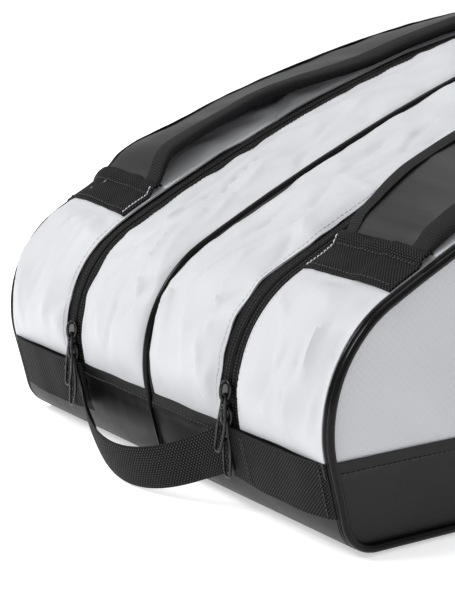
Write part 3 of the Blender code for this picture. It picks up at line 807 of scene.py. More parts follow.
def outer_rise(sign):
    low, high = ZIP_Y + ZIP_HALF_WIDTH, EDGE_Y
    seed = 23.0 if sign < 0 else 33.0
    lines = crease_lines(seed, low, high)

    def rise(s, y, x, z):
        share = (abs(y) - low) / (high - low)
        border = z - BORDER_Z
        from_tab, from_strap, from_tail_tab = x - TAB_START_X, x - STRAP_END_X, x - TAIL_TAB_END_X
        under_tab = smooth(-0.016, -0.002, from_tab) * (1 - smooth(0.036, 0.076, from_tab))
        under_web = smooth(-0.065, -0.025, from_strap) * (1 - smooth(0.0, 0.025, from_tail_tab))
        under_web *= z > BORDER_Z * 2
        pressed = 1 - 0.72 * under_tab - 0.8 * under_web
        folds = creases(lines, s, abs(y), seed) * pillow(share, 8.0) + pucker(border, y, seed + 1)
        pulled = 0.0056 * (0.3 - abs(noise.noise(Vector((y * 46.0, s * 7.0, seed + 6)))))
        folds += pulled * (1 - smooth(0.08, 0.16, s)) * pillow(share, 8.0)
        body = (0.0042 * pillow(share) + folds) * pressed + swell(x, abs(y), sign)
        return body * smooth(-0.002, 0.028, border) + 0.0004

    return rise


def border_wave(y):
    """The black panel's top edge wanders a little up and down across the nose."""
    return 0.0017 * noise.noise(Vector((y * 27.0, 170.0, 0.0))) * pillow(abs(y) / EDGE_Y / 2 + 0.5, 8.0)


def lower_rise(s, y, x, z):
    """The black lower panel: a hem at its top edge, and slack folds where it stands free."""
    border = BORDER_Z + (border_wave(y) if x < 0 else 0.0)
    hem = 0.0011 * smooth(border - HEM - 0.0006, border - HEM + 0.0006, z)
    share = abs(y) / EDGE_Y
    free = smooth(0.008, 0.028, z) * (1 - smooth(BORDER_Z - 0.012, BORDER_Z, z)) * (1 - share ** 8)
    slack = 0.0016 * noise.noise(Vector((y * 22.0, z * 30.0, 41.0))) + 0.0018
    gather = pucker(BORDER_Z - HEM - z, y, 44.0, 0.0006, 0.010, 80.0)
    return hem + free * slack + (gather if z > 0.01 else 0.0)


# ---------------------------------------------------------------- pieces
def build_lower():
    """The black shell: up the tail, under the bag and up the nose in one piece, and two lower sides."""
    start = tail_station(0.0, BORDER_Z + 0.0005)
    shell = Cloth(start, lambda w: STRETCHES + nose_station(BORDER_Z + 0.0007 + border_wave(w)), -EDGE_Y, EDGE_Y,
                  lower_rise)
    lay("lower_shell", shell, (0.003, 0.004), FABRIC, ("black_tarpaulin", "lining"), "root",
        ("base_panel", "nose_lower_panel", "tail_lower_panel"))
    edge = (HEM - STITCH_IN) / shell.length
    near, far = -EDGE_Y + STITCH_END, EDGE_Y - STITCH_END
    sew("lower_hem_stitches", [seam_across(shell, share, near, far, STITCH) for share in (edge, 1 - edge)],
        "root", "webbing")
    for side, sign in SIDES:
        build_lower_side(side, sign)


def side_grid(sign, low_z, rim, count, levels, bulge):
    """Points and texture coordinates of an upright panel.

    rim(share) gives the x and z of its upper edge and the x of its foot at low_z, and bulge gives
    how far a point stands out from the bag's side.
    """
    points, uvs = [], []
    for r in range(count + 1):
        rim_x, rim_z, foot_x = rim(r / count)
        line, spots = [], []
        for k in range(levels + 1):
            up = k / levels
            x = foot_x + (rim_x - foot_x) * up
            z = low_z + (rim_z - low_z) * up
            line.append(Vector((x, sign * (WIDTH / 2 + bulge(x, z, r / count, up)), z)))
            spots.append((x, z))
        points.append(line)
        uvs.append(spots)
    return points, uvs


def quilting(x, z, pitch):
    """Sewn diamonds: 0 on their lines and 1 between them."""
    return abs(sin(pi * (x + z) / pitch)) ** 0.4 * abs(sin(pi * (x - z) / pitch)) ** 0.4


def build_lower_side(side, sign):
    """The black lower side, with its hem, slack folds and the base seam rolled under."""
    width = sign * WIDTH / 2
    nose = nose_station(BORDER_Z)
    tail = tail_station(width, BORDER_Z)
    marks, lengths = run(round(width, 6), tail, STRETCHES + nose)
    tail_x, nose_x = outline(width, tail).x, outline(width, nose).x
    points, uvs = [], []
    rows, levels = 240, 16
    for r in range(rows + 1):
        foot = outline(width, station_at(r / rows, marks, lengths), 0.0006)
        top_x = tail_x + (nose_x - tail_x) * r / rows
        edge = min(1.0, 4 * r / rows, 4 * (1 - r / rows))
        line, spots = [], []
        for k in range(levels + 1):
            share = (k / levels) ** 0.9
            x = foot.x + (top_x - foot.x) * share
            z = foot.y + (BORDER_Z + 0.0004 - foot.y) * share
            out = 0.0012 * sin(pi * min(1, share)) ** 0.5 * edge
            out += 0.0014 * sin(pi * share) * noise.noise(Vector((x * 26.0, z * 40.0, 50.0 + sign))) * edge
            out += 0.0010 * smooth(BORDER_Z - HEM - 0.0006, BORDER_Z - HEM + 0.0006, z)
            line.append(Vector((x, sign * (WIDTH / 2 + out), z)))
            spots.append((x, z))
        points.append(line)
        uvs.append(spots)
    finishes = [FINISH["black_tarpaulin"], FINISH["lining"]]
    piece = grid(f"{side}_lower_side_panel", points, uvs, finishes, flip=sign < 0)
    thicken(piece, FABRIC, lined=True)
    settle(piece, "root", (f"{side}_lower_side",))
    z = BORDER_Z - HEM + STITCH_IN
    first, last = outline(width, nose_station(z)).x + STITCH_END, LENGTH / 2 - STITCH_END
    count = round((last - first) / STITCH)
    row = [(Vector((first + (last - first) * k / count, sign * (WIDTH / 2 + 0.0014), z)), Vector((0, sign, 0)))
           for k in range(count + 1)]
    sew(f"{side}_side_hem_stitches", [row], "root", "webbing")


def build_gussets(side, sign):
    """The white strips each side of the zip, with their ragged edges and topstitching."""
    start = nose_station(TUCK_Z)

    def finish(y):
        return tail_station(y, TUCK_Z)

    near, far = ZIP_Y - ZIP_HALF_WIDTH, ZIP_Y + ZIP_HALF_WIDTH
    breadth = near - SEAM
    inner_edge, outer_edge = ragged(143 + sign, 0.0018), ragged(156 + sign, 0.0022)
    inner = Cloth(start, finish, *span(sign, SEAM, near), inner_rise(sign),
                  lambda s, y: sign * inner_edge(s) * ((abs(y) - SEAM) / breadth) ** 6)
    outer = Cloth(start, finish, *span(sign, far, EDGE_Y), outer_rise(sign),
                  lambda s, y: sign * outer_edge(s) * ((EDGE_Y - abs(y)) / breadth) ** 6)
    halves = (("inner", inner, near - STITCH_IN, "root", (f"{side}_inner_gusset",)),
              ("outer", outer, far + STITCH_IN, f"{side} fold",
               (f"{side}_outer_gusset", f"{side}_nose_outer_gusset", f"{side}_tail_outer_gusset")))
    for half, strip, _, body, nodes in halves:
        lay(f"{side}_{half}_strip", strip, FABRIC_CELL, FABRIC, ("white_tarpaulin", "lining"), body,
            nodes)
    for half, strip, seam_y, body, _ in halves:
        sew(f"{side}_{half}_zip_stitches", [seam_along(strip, sign * seam_y, STITCH, last=0.97)], body,
            "white_tarpaulin", "white_thread", thread=0.00018, reach=0.92)
    build_zip(side, sign, start)
    return outer


def build_zip(side, sign, start):
    """Two woven tapes, each with a raised guide and a coil of teeth under its edge, and a patch at the end."""
    low_y, high_y = ZIP_Y - ZIP_HALF_WIDTH - TAPE_HIDDEN, ZIP_Y + ZIP_HALF_WIDTH + TAPE_HIDDEN

    def finish(y):
        return tail_station(y, ZIP_END_Z)

    def tape_rise(s, y, x, z):
        from_slit = abs(abs(y) - ZIP_Y) - ZIP_HALF_SLIT
        guide = 0.0008 * exp(-((from_slit - 0.0014) / 0.0010) ** 2)
        guide += 0.0004 * exp(-((from_slit - 0.0042) / 0.0007) ** 2)
        return guide - TAPE_SINK

    for half, out, low, high, body, nodes in (
            ("inner", -1, low_y, ZIP_Y - ZIP_HALF_SLIT, "root", (f"{side}_zip_inner_tape",)),
            ("outer", 1, ZIP_Y + ZIP_HALF_SLIT, high_y, f"{side} fold",
             (f"{side}_zip_outer_tape", f"{side}_nose_zip_tape"))):
        tape = Cloth(start, finish, *span(sign, low, high), tape_rise)
        lay(f"{side}_zip_{half}_tape_woven", tape, (0.004, 0.0007), TAPE, ("zip_tape",), body, nodes)
        rows = [seam_along(tape, sign * (ZIP_Y + out * gap), TAPE_STITCH) for gap in (0.0030, 0.0056)]
        sew(f"{side}_zip_{half}_stitches", rows, body, "zip_tape", thread=0.0003, reach=0.62)
        build_coil(f"{side}_zip_{half}_coil", tape, sign * (ZIP_Y + out * (ZIP_HALF_SLIT + 0.0009)), body)
    patch = Cloth(lambda w: tail_station(w, ZIP_END_Z - 0.0015), lambda w: tail_station(w, TUCK_Z),
                  *span(sign, low_y, high_y),
                  lambda s, y, x, z: -0.0008 + 0.0003 * noise.noise(Vector((y * 90.0, z * 60.0, 160.0))))
    lay(f"{side}_zip_end_patch", patch, (0.002, 0.002), 0.001, ("zip_tape",), "root")


def build_coil(name, tape, width, body):
    """The zip's teeth: a ridged coil under the tape's edge."""
    depth, ridge, valley = 0.0017, 0.00095, 0.00062
    count = round(tape.length / COIL_PITCH) * 2
    rings = []
    for k in range(count + 1):
        share = k / count
        centre = tape.at(share, width, -depth)
        out = tape.normal(share, width)
        radius = ridge if k % 2 else valley
        rings.append([centre + radius * (cos(a) * out + sin(a) * Vector((0, 1, 0)))
                      for a in (2 * pi * j / 6 for j in range(6))])
    settle(skin(name, rings, [FINISH["buckle_plastic"]]), body)


def build_side_panel(side, sign):
    """The grey-white ripstop side, bellied a little, from the border to the piping."""
    width = sign * WIDTH / 2
    marks, lengths = run(round(width, 6), nose_station(BORDER_Z), tail_station(width, BORDER_Z))
    nose_x, tail_x = (outline(width, marks[i]).x for i in (0, -1))

    def rim(share):
        point = outline(width, station_at(share, marks, lengths), 0.001)
        return point.x, point.y, nose_x + (tail_x - nose_x) * share ** 1.15

    def bulge(x, z, along, up):
        rim_gap = (1 - up) * 0.1
        belly = 0.0030 * sin(pi * up) ** 0.6 * sin(pi * along) ** 0.35
        folds = 0.0016 * noise.noise(Vector((x * 13.0, z * 15.0, 60.0 + sign)))
        folds += 0.0010 * noise.noise(Vector((x * 30.0 + z * 22.0, z * 28.0, 64.0 + sign)))
        folds *= sin(pi * up) ** 0.5 * sin(pi * along) ** 0.3
        return -0.0008 + belly + folds + pucker(rim_gap, x, 66.0, 0.0005, 0.012, 70.0) * sin(pi * up) ** 0.3

    points, uvs = side_grid(sign, TUCK_Z, rim, 220, 44, bulge)
    piece = grid(f"{side}_side_sheet", points, uvs, [FINISH["side_fabric"], FINISH["lining"]], flip=sign > 0)
    thicken(piece, FABRIC, lined=True)
    settle(piece, f"{side} fold", (f"{side}_side_panel", f"{side}_side_panel_fixed"))


def build_cover_lining(side, sign):
    """The quilted lining inside a side cover, above its fold."""
    width = sign * WIDTH / 2
    foot, rise = hinge(sign)

    def rim(share):
        low, high = TOP_FRONT + 0.16, float(TAIL_LINE) - 0.02
        point = outline(width, low + (high - low) * share, 0.011)
        return point.x, point.y, foot.x + 0.06 + (LENGTH / 2 - 0.015 - foot.x - 0.06) * share

    def quilt(x, z, along, up):
        edge = min(1.0, 8 * up, 8 * (1 - up), 10 * along, 10 * (1 - along))
        return -0.0026 - 0.0014 * quilting(x, z, 0.06) * edge

    points, uvs = side_grid(sign, 0.142, rim, 120, 36, quilt)
    for line in points:
        base = line[0].copy()
        drop = (base.x - foot.x) * -rise.x / rise.z
        for k, point in enumerate(line):
            point.z += (foot.z + 0.013 + drop - base.z) * (1 - k / (len(line) - 1))
    piece = grid(f"{side}_cover_lining", points, uvs, [FINISH["lining"]], flip=sign > 0)
    thicken(piece, LINING, offset=0.0, even=False)
    settle(piece, f"{side}_cover", (f"{side}_side_foam",))


def build_piping(side, sign):
    """The side seam: a thick glossy bead round the whole outline and a thin one beside it."""
    width = sign * WIDTH / 2
    marks, lengths = run(round(width, 6), 0.001, STRETCHES - 0.001)
    count = 520

    def ring_of(y, inset, seed):
        path = []
        for k in range(count):
            wobble = 0.00025 * noise.noise(Vector((k * 0.11, seed, 0.0)))
            x, z = outline(width, station_at(k / count, marks, lengths), inset + wobble)
            path.append(Vector((x, y, z)))
        return path

    bead = wire(f"{side}_side_piping", ring_of(sign * PIPING_Y, PIPING_RADIUS + 0.0001, 71.0), PIPING_RADIUS,
                FINISH["piping"], closed=True, upright=True)
    settle(bead, f"{side} fold", (f"{side}_lower_piping", f"{side}_upper_piping"))
    lip = wire(f"{side}_seam_lip", ring_of(sign * (WIDTH / 2 - 0.0005), 0.0018, 74.0), 0.0018,
               FINISH["piping"], closed=True, around=8, upright=True)
    settle(lip, f"{side} fold")


def build_centre_piping():
    """The seam between the two compartments: a glossy bead with a narrow tape each side."""
    first, last = nose_station(0.012), tail_station(0.0, 0.05)
    marks, lengths = run(0.0, first, last)
    count = 330
    path = []
    for k in range(count + 1):
        rise = 0.0014 - 0.0002 * noise.noise(Vector((k * 0.1, 80.0, 0.0)))
        x, z = outline(0.0, station_at(k / count, marks, lengths), -rise)
        sway = 0.0007 * noise.noise(Vector((k * 0.03, 83.0, 0.0)))
        path.append(Vector((x, sway, z)))
    settle(wire("centre_piping_bead", path, 0.0021, FINISH["piping"], upright=True), "root",
           ("centre_piping",))
    lips = Cloth(first, last, -0.0042, 0.0042, lambda s, y, x, z: 0.0012 * exp(-(y / 0.0028) ** 2) + 0.0004)
    lay("centre_seam_tape", lips, (0.004, 0.0008), 0.0008, ("piping",), "root")


def build_band(side, sign):
    """The webbing across the outer lower corner of the nose, sewn at both ends."""
    def rise(s, y, x, z):
        share = (abs(y) - BAND_INNER_Y) / (EDGE_Y - BAND_INNER_Y)
        slack = 0.0026 * pillow(share, 3.0) + 0.0012 * noise.noise(Vector((y * 40.0, z * 25.0, 130.0 + sign)))
        return 0.0021 + slack * pillow(share, 4.0) - 0.0016 * smooth(0.95, 1.0, share)

    band = Cloth(nose_station(BAND_BOTTOM_Z), nose_station(BORDER_Z + 0.0006),
                 *span(sign, BAND_INNER_Y, EDGE_Y + 0.001), rise)
    lay(f"{side}_nose_webbing", band, (0.0015, 0.0025), WEBBING, ("webbing_across",), "root",
        (f"{side}_nose_band",))
    rows = [seam_along(band, sign * y, 0.003, 0.0001, 0.06, 0.94)
            for y in (EDGE_Y - 0.004, ZIP_Y + 0.012, ZIP_Y + 0.0145)]
    sew(f"{side}_nose_webbing_stitches", rows, "root", "webbing")


def build_handle():
    """The webbing loop between the zips: flat on the nose at its ends, and drooping in the middle."""
    root = outline(0.0, nose_station(HANDLE_AXIS_Z))
    root = Vector((root.x, 0.0, root.y))
    out = Vector((-cos(HANDLE_DROOP), 0.0, -sin(HANDLE_DROOP)))
    up_free = Vector((-sin(HANDLE_TUCK), 0.0, cos(HANDLE_TUCK)))
    up_sewn = Vector((-sin(NOSE_LEAN), 0.0, cos(NOSE_LEAN)))
    face_sewn = Vector((-cos(NOSE_LEAN), 0.0, -sin(NOSE_LEAN)))
    half_turns = 120
    end_y = HANDLE_HALF_SPAN + 0.004
    wide = 40
    rings = []
    for k in range(half_turns + 1):
        y = end_y * (1 - 2 * k / half_turns)
        reach = max(0.0, HANDLE_REACH * (1 - (y / HANDLE_HALF_SPAN) ** 2))
        slope = -2 * HANDLE_REACH * y / HANDLE_HALF_SPAN ** 2 if reach > 0 else 0.0
        free = smooth(0.0, 0.020, reach)
        up = (up_sewn.lerp(up_free, free)).normalized()
        ahead = (Vector((0, -1, 0)) - out * slope).normalized()
        facing = ahead.cross(up).normalized()
        if facing.dot(face_sewn) < 0:
            facing = -facing
        centre = root + Vector((0, y, 0)) + out * reach + face_sewn * HANDLE_SEWN_LIFT * (1 - free)
        front, back = [], []
        for j in range(wide + 1):
            v = HANDLE_HALF_WIDTH * (2 * j / wide - 1)
            rounded = 0.0006 * abs(2 * j / wide - 1) ** 12
            curl = 0.0012 * free * (v / HANDLE_HALF_WIDTH) ** 2
            point = centre + up * v - facing * curl
            front.append(point + facing * (WEBBING / 2 - rounded))
            back.append(point - facing * (WEBBING / 2 - rounded))
        rings.append(front + back[::-1])
    handle = skin("nose_handle_webbing", rings, [FINISH["webbing"]], scale_round=4 * HANDLE_HALF_WIDTH)
    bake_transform(handle)
    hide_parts("nose_handle")
    rows = []
    for side_sign in (-1, 1):
        for y in (HANDLE_HALF_SPAN + 0.002, HANDLE_HALF_SPAN - 0.0005):
            spots = []
            for j in range(9):
                v = HANDLE_HALF_WIDTH * 0.86 * (j / 4 - 1)
                spots.append((root + Vector((0, side_sign * y, 0)) + up_sewn * v
                              + face_sewn * (HANDLE_SEWN_LIFT + WEBBING / 2 + 0.0003), face_sewn))
            rows.append(spots)
    sew("nose_handle_stitches", rows, "root", "webbing")


def build_tabs(side, sign, outer):
    """The webbing tabs that hold the strap's two ends, with the white stitch line on the front one."""
    inner_y = ZIP_Y + ZIP_HALF_WIDTH
    low, high = span(sign, inner_y + 0.0004, TAB_OUTER_Y)
    strip_rise = outer.rise

    def rise(s, y, x, z):
        from_pad = x - PAD_START_X
        roll = smooth(-0.0090, -0.0030, from_pad) * (1 - smooth(0.0, 0.0050, from_pad))
        wave = 0.0009 * noise.noise(Vector((x * 60, y * 40, 90.0)))
        return strip_rise(s, y, x, z) + TAB_LIFT + 0.0042 * roll + wave

    tab = Cloth(lambda w: top_station(w, TAB_START_X), lambda w: top_station(w, PAD_START_X + 0.003),
                low, high, rise)
    lay(f"{side}_strap_tab_webbing", tab, TAB_CELL, WEBBING, ("webbing_tab",), f"{side} fold",
        (f"{side}_strap_tab",))
    row = seam_along(tab, sign * (inner_y + 0.0026), 0.0028, 0.0003, 0.04, 0.80)
    sew(f"{side}_tab_white_stitches", [row], f"{side} fold", "webbing", "white_thread", thread=0.0004, reach=0.92)
    near, far = span(sign, inner_y + 0.005, TAB_OUTER_Y - 0.003)
    rows = [seam_across(tab, share, near, far, TAB_STITCH) for share in (0.09, 0.66)]
    sew(f"{side}_tab_stitches", rows, f"{side} fold", "webbing")

    tail = Cloth(lambda w: top_station(w, TAIL_WEB_END_X + 0.0006), lambda w: top_station(w, TAIL_TAB_END_X),
                 low, high, lambda s, y, x, z: strip_rise(s, y, x, z) + TAB_LIFT)
    lay(f"{side}_tail_tab_webbing", tail, TAB_CELL, WEBBING, ("webbing_tab",), f"{side}_cover",
        (f"{side}_tail_tab",))
    rows = [seam_across(tail, share, near, far, TAB_STITCH) for share in (0.1, 0.9)]
    sew(f"{side}_tail_tab_stitches", rows, f"{side}_cover", "webbing")


# ---------------------------------------------------------------- shoulder straps
def strap_under(x, share, sign):
    """Height of the strap's underside above the bag, at a length and a share from zip side to outer side.

    The zip side lifts off the bag behind the front seam, more on the left strap, and the rest lies down.
    """
    from_seam = x - PAD_START_X
    if sign < 0:
        lifted = 0.0040 * smooth(-0.004, 0.010, from_seam) + 0.0090 * smooth(0.0, 0.052, from_seam)
    else:
        lifted = 0.0130 * smooth(-0.002, 0.022, from_seam) + 0.0020 * smooth(0.0, 0.06, from_seam)
    lifted *= 1 - smooth(-0.225, -0.120, x)
    lying = 0.0022 * smooth(-0.19, -0.09, x) * (1 - smooth(0.05, STRAP_END_X, x))
    inner = lifted + lying
    outer = 0.0016 * smooth(0.0, 0.03, from_seam) * (1 - smooth(0.05, STRAP_END_X, x))
    blend = min(1.0, max(0.0, share)) ** 0.8
    below = swell(x, STRAP_INNER_Y + (STRAP_OUTER_Y - STRAP_INNER_Y) * share, sign)
    return 0.0016 + inner * (1 - blend) + outer * blend + below


def strap_drift(x, sign):
    """How far the left strap lies in from its straight line, towards the zip, at a length x."""
    return 0.0110 * smooth(-0.25, -0.07, x) * (1 - smooth(0.02, 0.085, x)) if sign > 0 else 0.0


def strap_pinch(x):
    """Share of the pad's full thickness: thin where its two ends are sewn."""
    return (0.45 + 0.55 * smooth(0.0, 0.014, x - PAD_START_X)) * (0.45 + 0.55 * smooth(0.0, 0.02, STRAP_END_X - x))


def strap_ring(x, sign, around=40):
    """Section of the pad at a length x: a soft lens with rounded edges."""
    half = PAD_HALF * strap_pinch(x)
    points = []
    for k in range(around):
        angle = 2 * pi * k / around
        share = 0.5 - 0.5 * keep_sign(cos(angle), 0.42)
        height = half * keep_sign(sin(angle), 0.75)
        y = STRAP_INNER_Y + STRAP_WIDTH * share - strap_drift(x, sign)
        level = strap_under(x, share, sign) + half + height
        if height > 0:
            dent = 0.0014 * noise.noise(Vector((x * 34.0, y * 26.0, 100.0 + sign)))
            dent += 0.0011 * (1 - abs(noise.noise(Vector((x * 16.0 + y * 8.0, y * 9.0, 104.0 + sign))))) ** 7
            level += PAD_CROWN * pillow(share, 2.0) + dent
        points.append(on_top(x, sign * y, max(level, 0.0019)))
    return points


def build_strap_edge(side, sign, edge):
    """Ribbed knitted binding that wraps one edge of the pad."""
    rows, steps, reach, proud = 210, 16, 0.0110, 0.0004
    first, last = PAD_START_X + 0.0002, STRAP_END_X - 0.0002
    points, uvs = [], []
    for r in range(rows + 1):
        x = first + (last - first) * r / rows
        half = PAD_HALF * strap_pinch(x)
        line, spots = [], []
        travelled = 0.0
        for k in range(steps + 1):
            angle = (-0.5 + k / steps) * pi * 1.04
            c, s = cos(angle), sin(angle)
            inward = reach * (1 - c ** 0.8 if c > 0 else 1.0) - proud
            y = STRAP_INNER_Y + inward if edge == "inner" else STRAP_OUTER_Y - inward
            share = max(0.0, min(1.0, (y - STRAP_INNER_Y) / STRAP_WIDTH))
            level = strap_under(x, share, sign) + half + keep_sign(s, 0.75) * (half + 0.0009)
            level += PAD_CROWN * pillow(share, 2.0) if s > 0 else 0.0
            level += 0.00035 * noise.noise(Vector((x * 70.0, s * 2, 110.0)))
            point = on_top(x, sign * (y - strap_drift(x, sign)), max(level, 0.0012))
            travelled += (point - line[-1]).length if line else 0.0
            line.append(point)
            spots.append((x, travelled))
        points.append(line)
        uvs.append(spots)
    flip = (sign > 0) == (edge == "inner")
    piece = grid(f"{side}_strap_{edge}_knit", points, uvs, [FINISH["strap_binding"]], flip=flip)
    thicken(piece, BINDING, even=False)
    settle(piece, f"{side}_strap", (f"{side}_strap_{edge}_binding",))


def strap_seam(sign, y, first, last):
    """Stitch places along the pad's face at one width."""
    count, margin = 125, 0.004
    share = (y - STRAP_INNER_Y) / STRAP_WIDTH
    row = []
    for k in range(count + 1):
        x = first + margin + (last - first - 2 * margin) * k / count
        level = strap_under(x, share, sign) + 2 * PAD_HALF * strap_pinch(x) + PAD_CROWN * pillow(share, 2.0)
        row.append((on_top(x, sign * (y - strap_drift(x, sign)), level + 0.0011), Vector((0, 0, 1))))
    return row


def build_strap(side, sign):
    """The padded strap with its two bindings and rows of stitches, and the webbing from its buckle."""
    rows = 190
    first, last = PAD_START_X + 0.0004, STRAP_END_X - 0.0004
    rings = [strap_ring(first + (last - first) * r / rows, sign) for r in range(rows + 1)]
    pad = skin(f"{side}_strap_padding", rings, [FINISH["strap_synthetic"]])
    settle(pad, f"{side}_strap", (f"{side}_strap_pad",))
    for edge in ("inner", "outer"):
        build_strap_edge(side, sign, edge)
    seams = [strap_seam(sign, y, first, last) for y in (STRAP_INNER_Y + 0.0100, STRAP_OUTER_Y - 0.0100)]
    sew(f"{side}_strap_stitches", seams, f"{side}_strap", "strap_binding", thread=0.0003)

    def web_rise(s, y, x, z):
        over_bar = 0.0042 * exp(-((x - BUCKLE_X) / 0.006) ** 2)
        return 0.0029 + over_bar + 0.0004 * noise.noise(Vector((x * 30.0, y * 30.0, 120.0)))

    web = Cloth(lambda w: top_station(w, TAIL_WEB_START_X), lambda w: top_station(w, TAIL_WEB_END_X - 0.0026),
                *span(sign, STRAP_MIDDLE_Y - TAIL_WEB_HALF_WIDTH, STRAP_MIDDLE_Y + TAIL_WEB_HALF_WIDTH), web_rise)
    lay(f"{side}_tail_webbing", web, (0.002, 0.0019), WEBBING, ("webbing",), f"{side}_strap_tail",
        (f"{side}_strap_webbing",))


# ---------------------------------------------------------------- zip sliders
def rounded_plate(name, ring, thickness, bevel, finish):
    """A flat plate with rounded edges from a 2-D outline."""
    curve = bpy.data.curves.new(name, "CURVE")
    curve.dimensions = "2D"
    curve.fill_mode = "BOTH"
    curve.extrude = thickness / 2 - bevel
    curve.bevel_depth = bevel
    curve.bevel_resolution = 3
    curve.offset = -bevel
    spline = curve.splines.new("POLY")
    spline.points.add(len(ring) - 1)
    for point, (x, y) in zip(spline.points, ring):
        point.co = (x, y, 0.0, 1.0)
    spline.use_cyclic_u = True
    plate = add_object(name, curve)
    bpy.context.view_layer.update()
    mesh = bpy.data.meshes.new_from_object(plate.evaluated_get(bpy.context.evaluated_depsgraph_get()))
    bpy.data.objects.remove(plate)
    mesh.materials.clear()
    mesh.materials.append(finish)
    mesh.shade_smooth()
    mesh.set_sharp_from_angle(angle=radians(60))
    return add_object(name, mesh)


def join(name, pieces):
    """One mesh object of several; each keeps its place."""
    shape = bmesh.new()
    for piece in pieces:
        mesh = piece.data.copy()
        mesh.transform(piece.matrix_world)
        shape.from_mesh(mesh)
        bpy.data.meshes.remove(mesh)
    mesh = bpy.data.meshes.new(name)
    shape.to_mesh(mesh)
    shape.free()
    mesh.materials.append(pieces[0].data.materials[0])
    mesh.set_sharp_from_angle(angle=radians(60))
    for piece in pieces:
        bpy.data.objects.remove(piece)
    return add_object(name, mesh)


def slider_pieces(name):
    """A zip slider lying on the tape: -X away from the bag, +Z up the zip."""
    metal = FINISH["black_metal"]
    ring = []
    for k in range(40):
        angle = 2 * pi * k / 40
        y, z = 0.0052 * sin(angle), 0.0065 * cos(angle)
        y *= 1.0 - 0.30 * smooth(0.001, -0.0065, z)
        ring.append((y * (1.0 + 0.12 * abs(sin(2 * angle))), z))
    to_front = Matrix(((0, 0, -1, 0), (1, 0, 0, 0), (0, 1, 0, 0), (0, 0, 0, 1)))
    front = rounded_plate(name + "_front", ring, 0.0019, 0.0006, metal)
    front.matrix_world = Matrix.Translation((-0.0022, 0, 0)) @ to_front
    back = rounded_plate(name + "_back", ring, 0.0014, 0.0005, metal)
    back.matrix_world = Matrix.Translation((0.0026, 0, 0)) @ to_front
    neck = rounded_plate(name + "_neck", [(-0.0009, 0.0012), (0.0009, 0.0012), (0.0009, 0.0052), (-0.0009, 0.0052)],
                         0.0044, 0.0003, metal)
    neck.matrix_world = Matrix.Translation((0.0002, 0, 0)) @ to_front
    arch = [Vector((-0.0028 - 0.0034 * sqrt(max(0.0, sin(pi * k / 16))), 0, 0.0050 * cos(pi * k / 16)))
            for k in range(17)]
    bail = wire(name + "_bail", arch, 0.00105, metal)
    bpy.context.view_layer.update()
    return [front, back, neck, bail]


def puller_pieces(name, sway):
    """A long loop of wire with a narrower throat at its top, hanging from the slider's bail."""
    metal = FINISH["black_metal"]
    path = []
    steps = 64
    for k in range(steps):
        angle = 2 * pi * k / steps
        z = -PULLER_LENGTH / 2 + 0.0006 + PULLER_LENGTH / 2 * cos(angle)
        down = (0.0006 - z) / PULLER_LENGTH
        wide = 0.0021 + 0.0015 * smooth(0.12, 0.6, down)
        y = wide * keep_sign(sin(angle), 0.45)
        path.append(Vector((0.0004 * sin(down * pi), y + sway * down * down, z)))
    loop = wire(name + "_loop", path, 0.00085, metal, closed=True, around=12)
    grip = [Vector((0, 0.0015 * sin(2 * pi * k / 24) + sway * 0.05, -0.0075 + 0.0022 * cos(2 * pi * k / 24)))
            for k in range(24)]
    return [loop, wire(name + "_eye", grip, 0.0006, metal, closed=True)]


def build_sliders():
    nose = arcs(0.0)[NOSE_ARC][0]
    for side, sign in SIDES:
        for level, angle, tilt, sway in (("lower", LOWER_SLIDER_ANGLE, 0.0, 0.0022 * sign),
                                         ("upper", UPPER_SLIDER_ANGLE, UPPER_PULLER_TILT, -0.0016 * sign)):
            place = (Matrix.Translation((nose.x, sign * ZIP_Y, nose.y)) @ Matrix.Rotation(angle, 4, "Y")
                     @ Matrix.Translation((-NOSE_RADIUS, 0, 0)))
            slider = join(f"{side}_{level}_zip_slider", slider_pieces(f"{side}_{level}"))
            slider.data.transform(place)
            settle(slider, f"{side}_{level}_slider", (f"{side}_{level}_slider",))
            hang = place @ Matrix.Translation((-0.0038, 0, -0.0026)) @ Matrix.Rotation(tilt - angle, 4, "Y")
            puller = join(f"{side}_{level}_zip_puller", puller_pieces(f"{side}_{level}", sway))
            puller.data.transform(hang)
            settle(puller, f"{side}_{level}_puller", (f"{side}_{level}_puller",))


# ---------------------------------------------------------------- inside
def build_divider():
    """The padded wall between the compartments, quilted on both faces."""
    marks, lengths = run(0.0, nose_station(0.03), tail_station(0.0, 0.03))

    def rim(share):
        point = outline(0.0, station_at(share, marks, lengths), 0.006)
        return point.x, point.y, -0.355 + 0.71 * share

    def quilt(x, z, along, up):
        edge = min(1.0, 8 * up, 8 * (1 - up), 12 * along, 12 * (1 - along))
        return 0.0009 + 0.0011 * quilting(x, z, 0.07) * edge - WIDTH / 2

    for side, sign in SIDES[::-1]:
        points, uvs = side_grid(sign, 0.006, rim, 200, 40, quilt)
        piece = grid(f"divider_{side}_quilt", points, uvs, [FINISH["lining"]], flip=sign < 0)
        thicken(piece, QUILT, even=False)
        settle(piece, "root", ("divider_panel",))


def dress_cad_nodes():
    """The CAD parts that show as they are get a finish, and the buckles a bevel."""
    for node, finish in (("right_strap_buckle", "buckle_plastic"), ("left_strap_buckle", "buckle_plastic"),
                         ("base_board", "stiffener")):
        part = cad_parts[node]
        part.data.materials.clear()
        part.data.materials.append(FINISH[finish])
        if finish == "buckle_plastic":
            bevel = part.modifiers.new("bevel", "BEVEL")
            bevel.width = 0.0008
            bevel.segments = 3
            bevel.limit_method = "ANGLE"


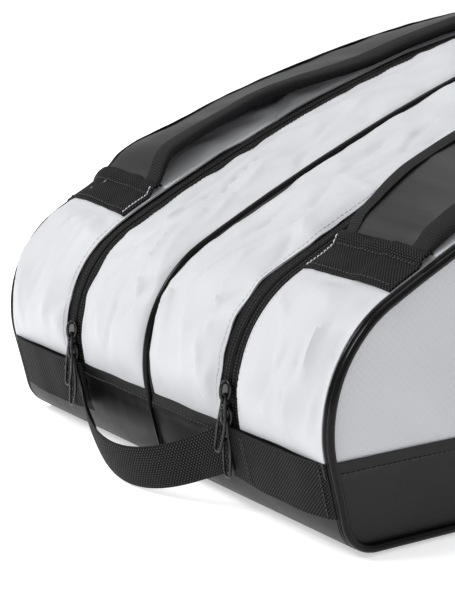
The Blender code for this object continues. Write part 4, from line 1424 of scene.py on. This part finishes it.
# ---------------------------------------------------------------- stage
CAMERA_PLACE = (-0.93382, -0.90882, 0.35000)
CAMERA_AZIMUTH = radians(56.036)
CAMERA_DOWN = radians(12.672)
CAMERA_LENS = 105.8
FLOOR_DROP = 0.0015
FLOOR_GLOW = 0.52
WORLD_LIGHT = 0.50
LAMPS = (("key", (-2.2, 0.9, 2.4), 1.3, 66.0), ("top", (0.4, 0.6, 2.8), 2.4, 22.0))


def build_floor():
    shape = bmesh.new()
    bmesh.ops.create_grid(shape, x_segments=1, y_segments=1, size=40.0)
    mesh = bpy.data.meshes.new("studio_floor")
    shape.to_mesh(mesh)
    shape.free()
    paint = Finish("studio_floor", (0.95, 0.95, 0.95), 0.9, Emission_Color=(1.0, 1.0, 1.0, 1.0),
                   Emission_Strength=FLOOR_GLOW)
    mesh.materials.append(paint.material)
    floor = add_object("studio_floor", mesh)
    floor.location.z = -FLOOR_DROP


def build_lights():
    """An even white world, and two soft square lamps that look at the bag."""
    world = bpy.data.worlds.new("studio")
    world.use_nodes = True
    background = world.node_tree.nodes["Background"]
    background.inputs["Color"].default_value = (1.0, 1.0, 1.0, 1.0)
    background.inputs["Strength"].default_value = WORLD_LIGHT
    bpy.context.scene.world = world
    for name, place, size, power in LAMPS:
        light = bpy.data.lights.new(name, "AREA")
        light.shape = "SQUARE"
        light.size = size
        light.energy = power
        lamp = add_object(name, light)
        lamp.location = place
        lamp.rotation_euler = (Vector((0, 0, 0.1)) - Vector(place)).to_track_quat("-Z", "Y").to_euler()


def build_camera():
    """The camera, at the photograph's viewing angle."""
    camera = bpy.data.cameras.new("camera")
    camera.sensor_width = 36.0
    camera.lens = CAMERA_LENS
    camera.clip_start = 0.05
    camera.clip_end = 200.0
    view = add_object("camera", camera)
    view.location = CAMERA_PLACE
    ahead = Vector((cos(CAMERA_AZIMUTH) * cos(CAMERA_DOWN), sin(CAMERA_AZIMUTH) * cos(CAMERA_DOWN),
                    -sin(CAMERA_DOWN)))
    view.rotation_euler = ahead.to_track_quat("-Z", "Y").to_euler()
    bpy.context.scene.camera = view
    bpy.context.scene.view_settings.view_transform = "Standard"


build_lower()
for side_name, direction in SIDES:
    outer_strip = build_gussets(side_name, direction)
    build_side_panel(side_name, direction)
    build_cover_lining(side_name, direction)
    build_piping(side_name, direction)
    build_band(side_name, direction)
    build_tabs(side_name, direction, outer_strip)
    build_strap(side_name, direction)
build_centre_piping()
build_handle()
build_sliders()
build_divider()
dress_cad_nodes()
build_floor()
build_lights()
build_camera()

bpy.context.view_layer.update()
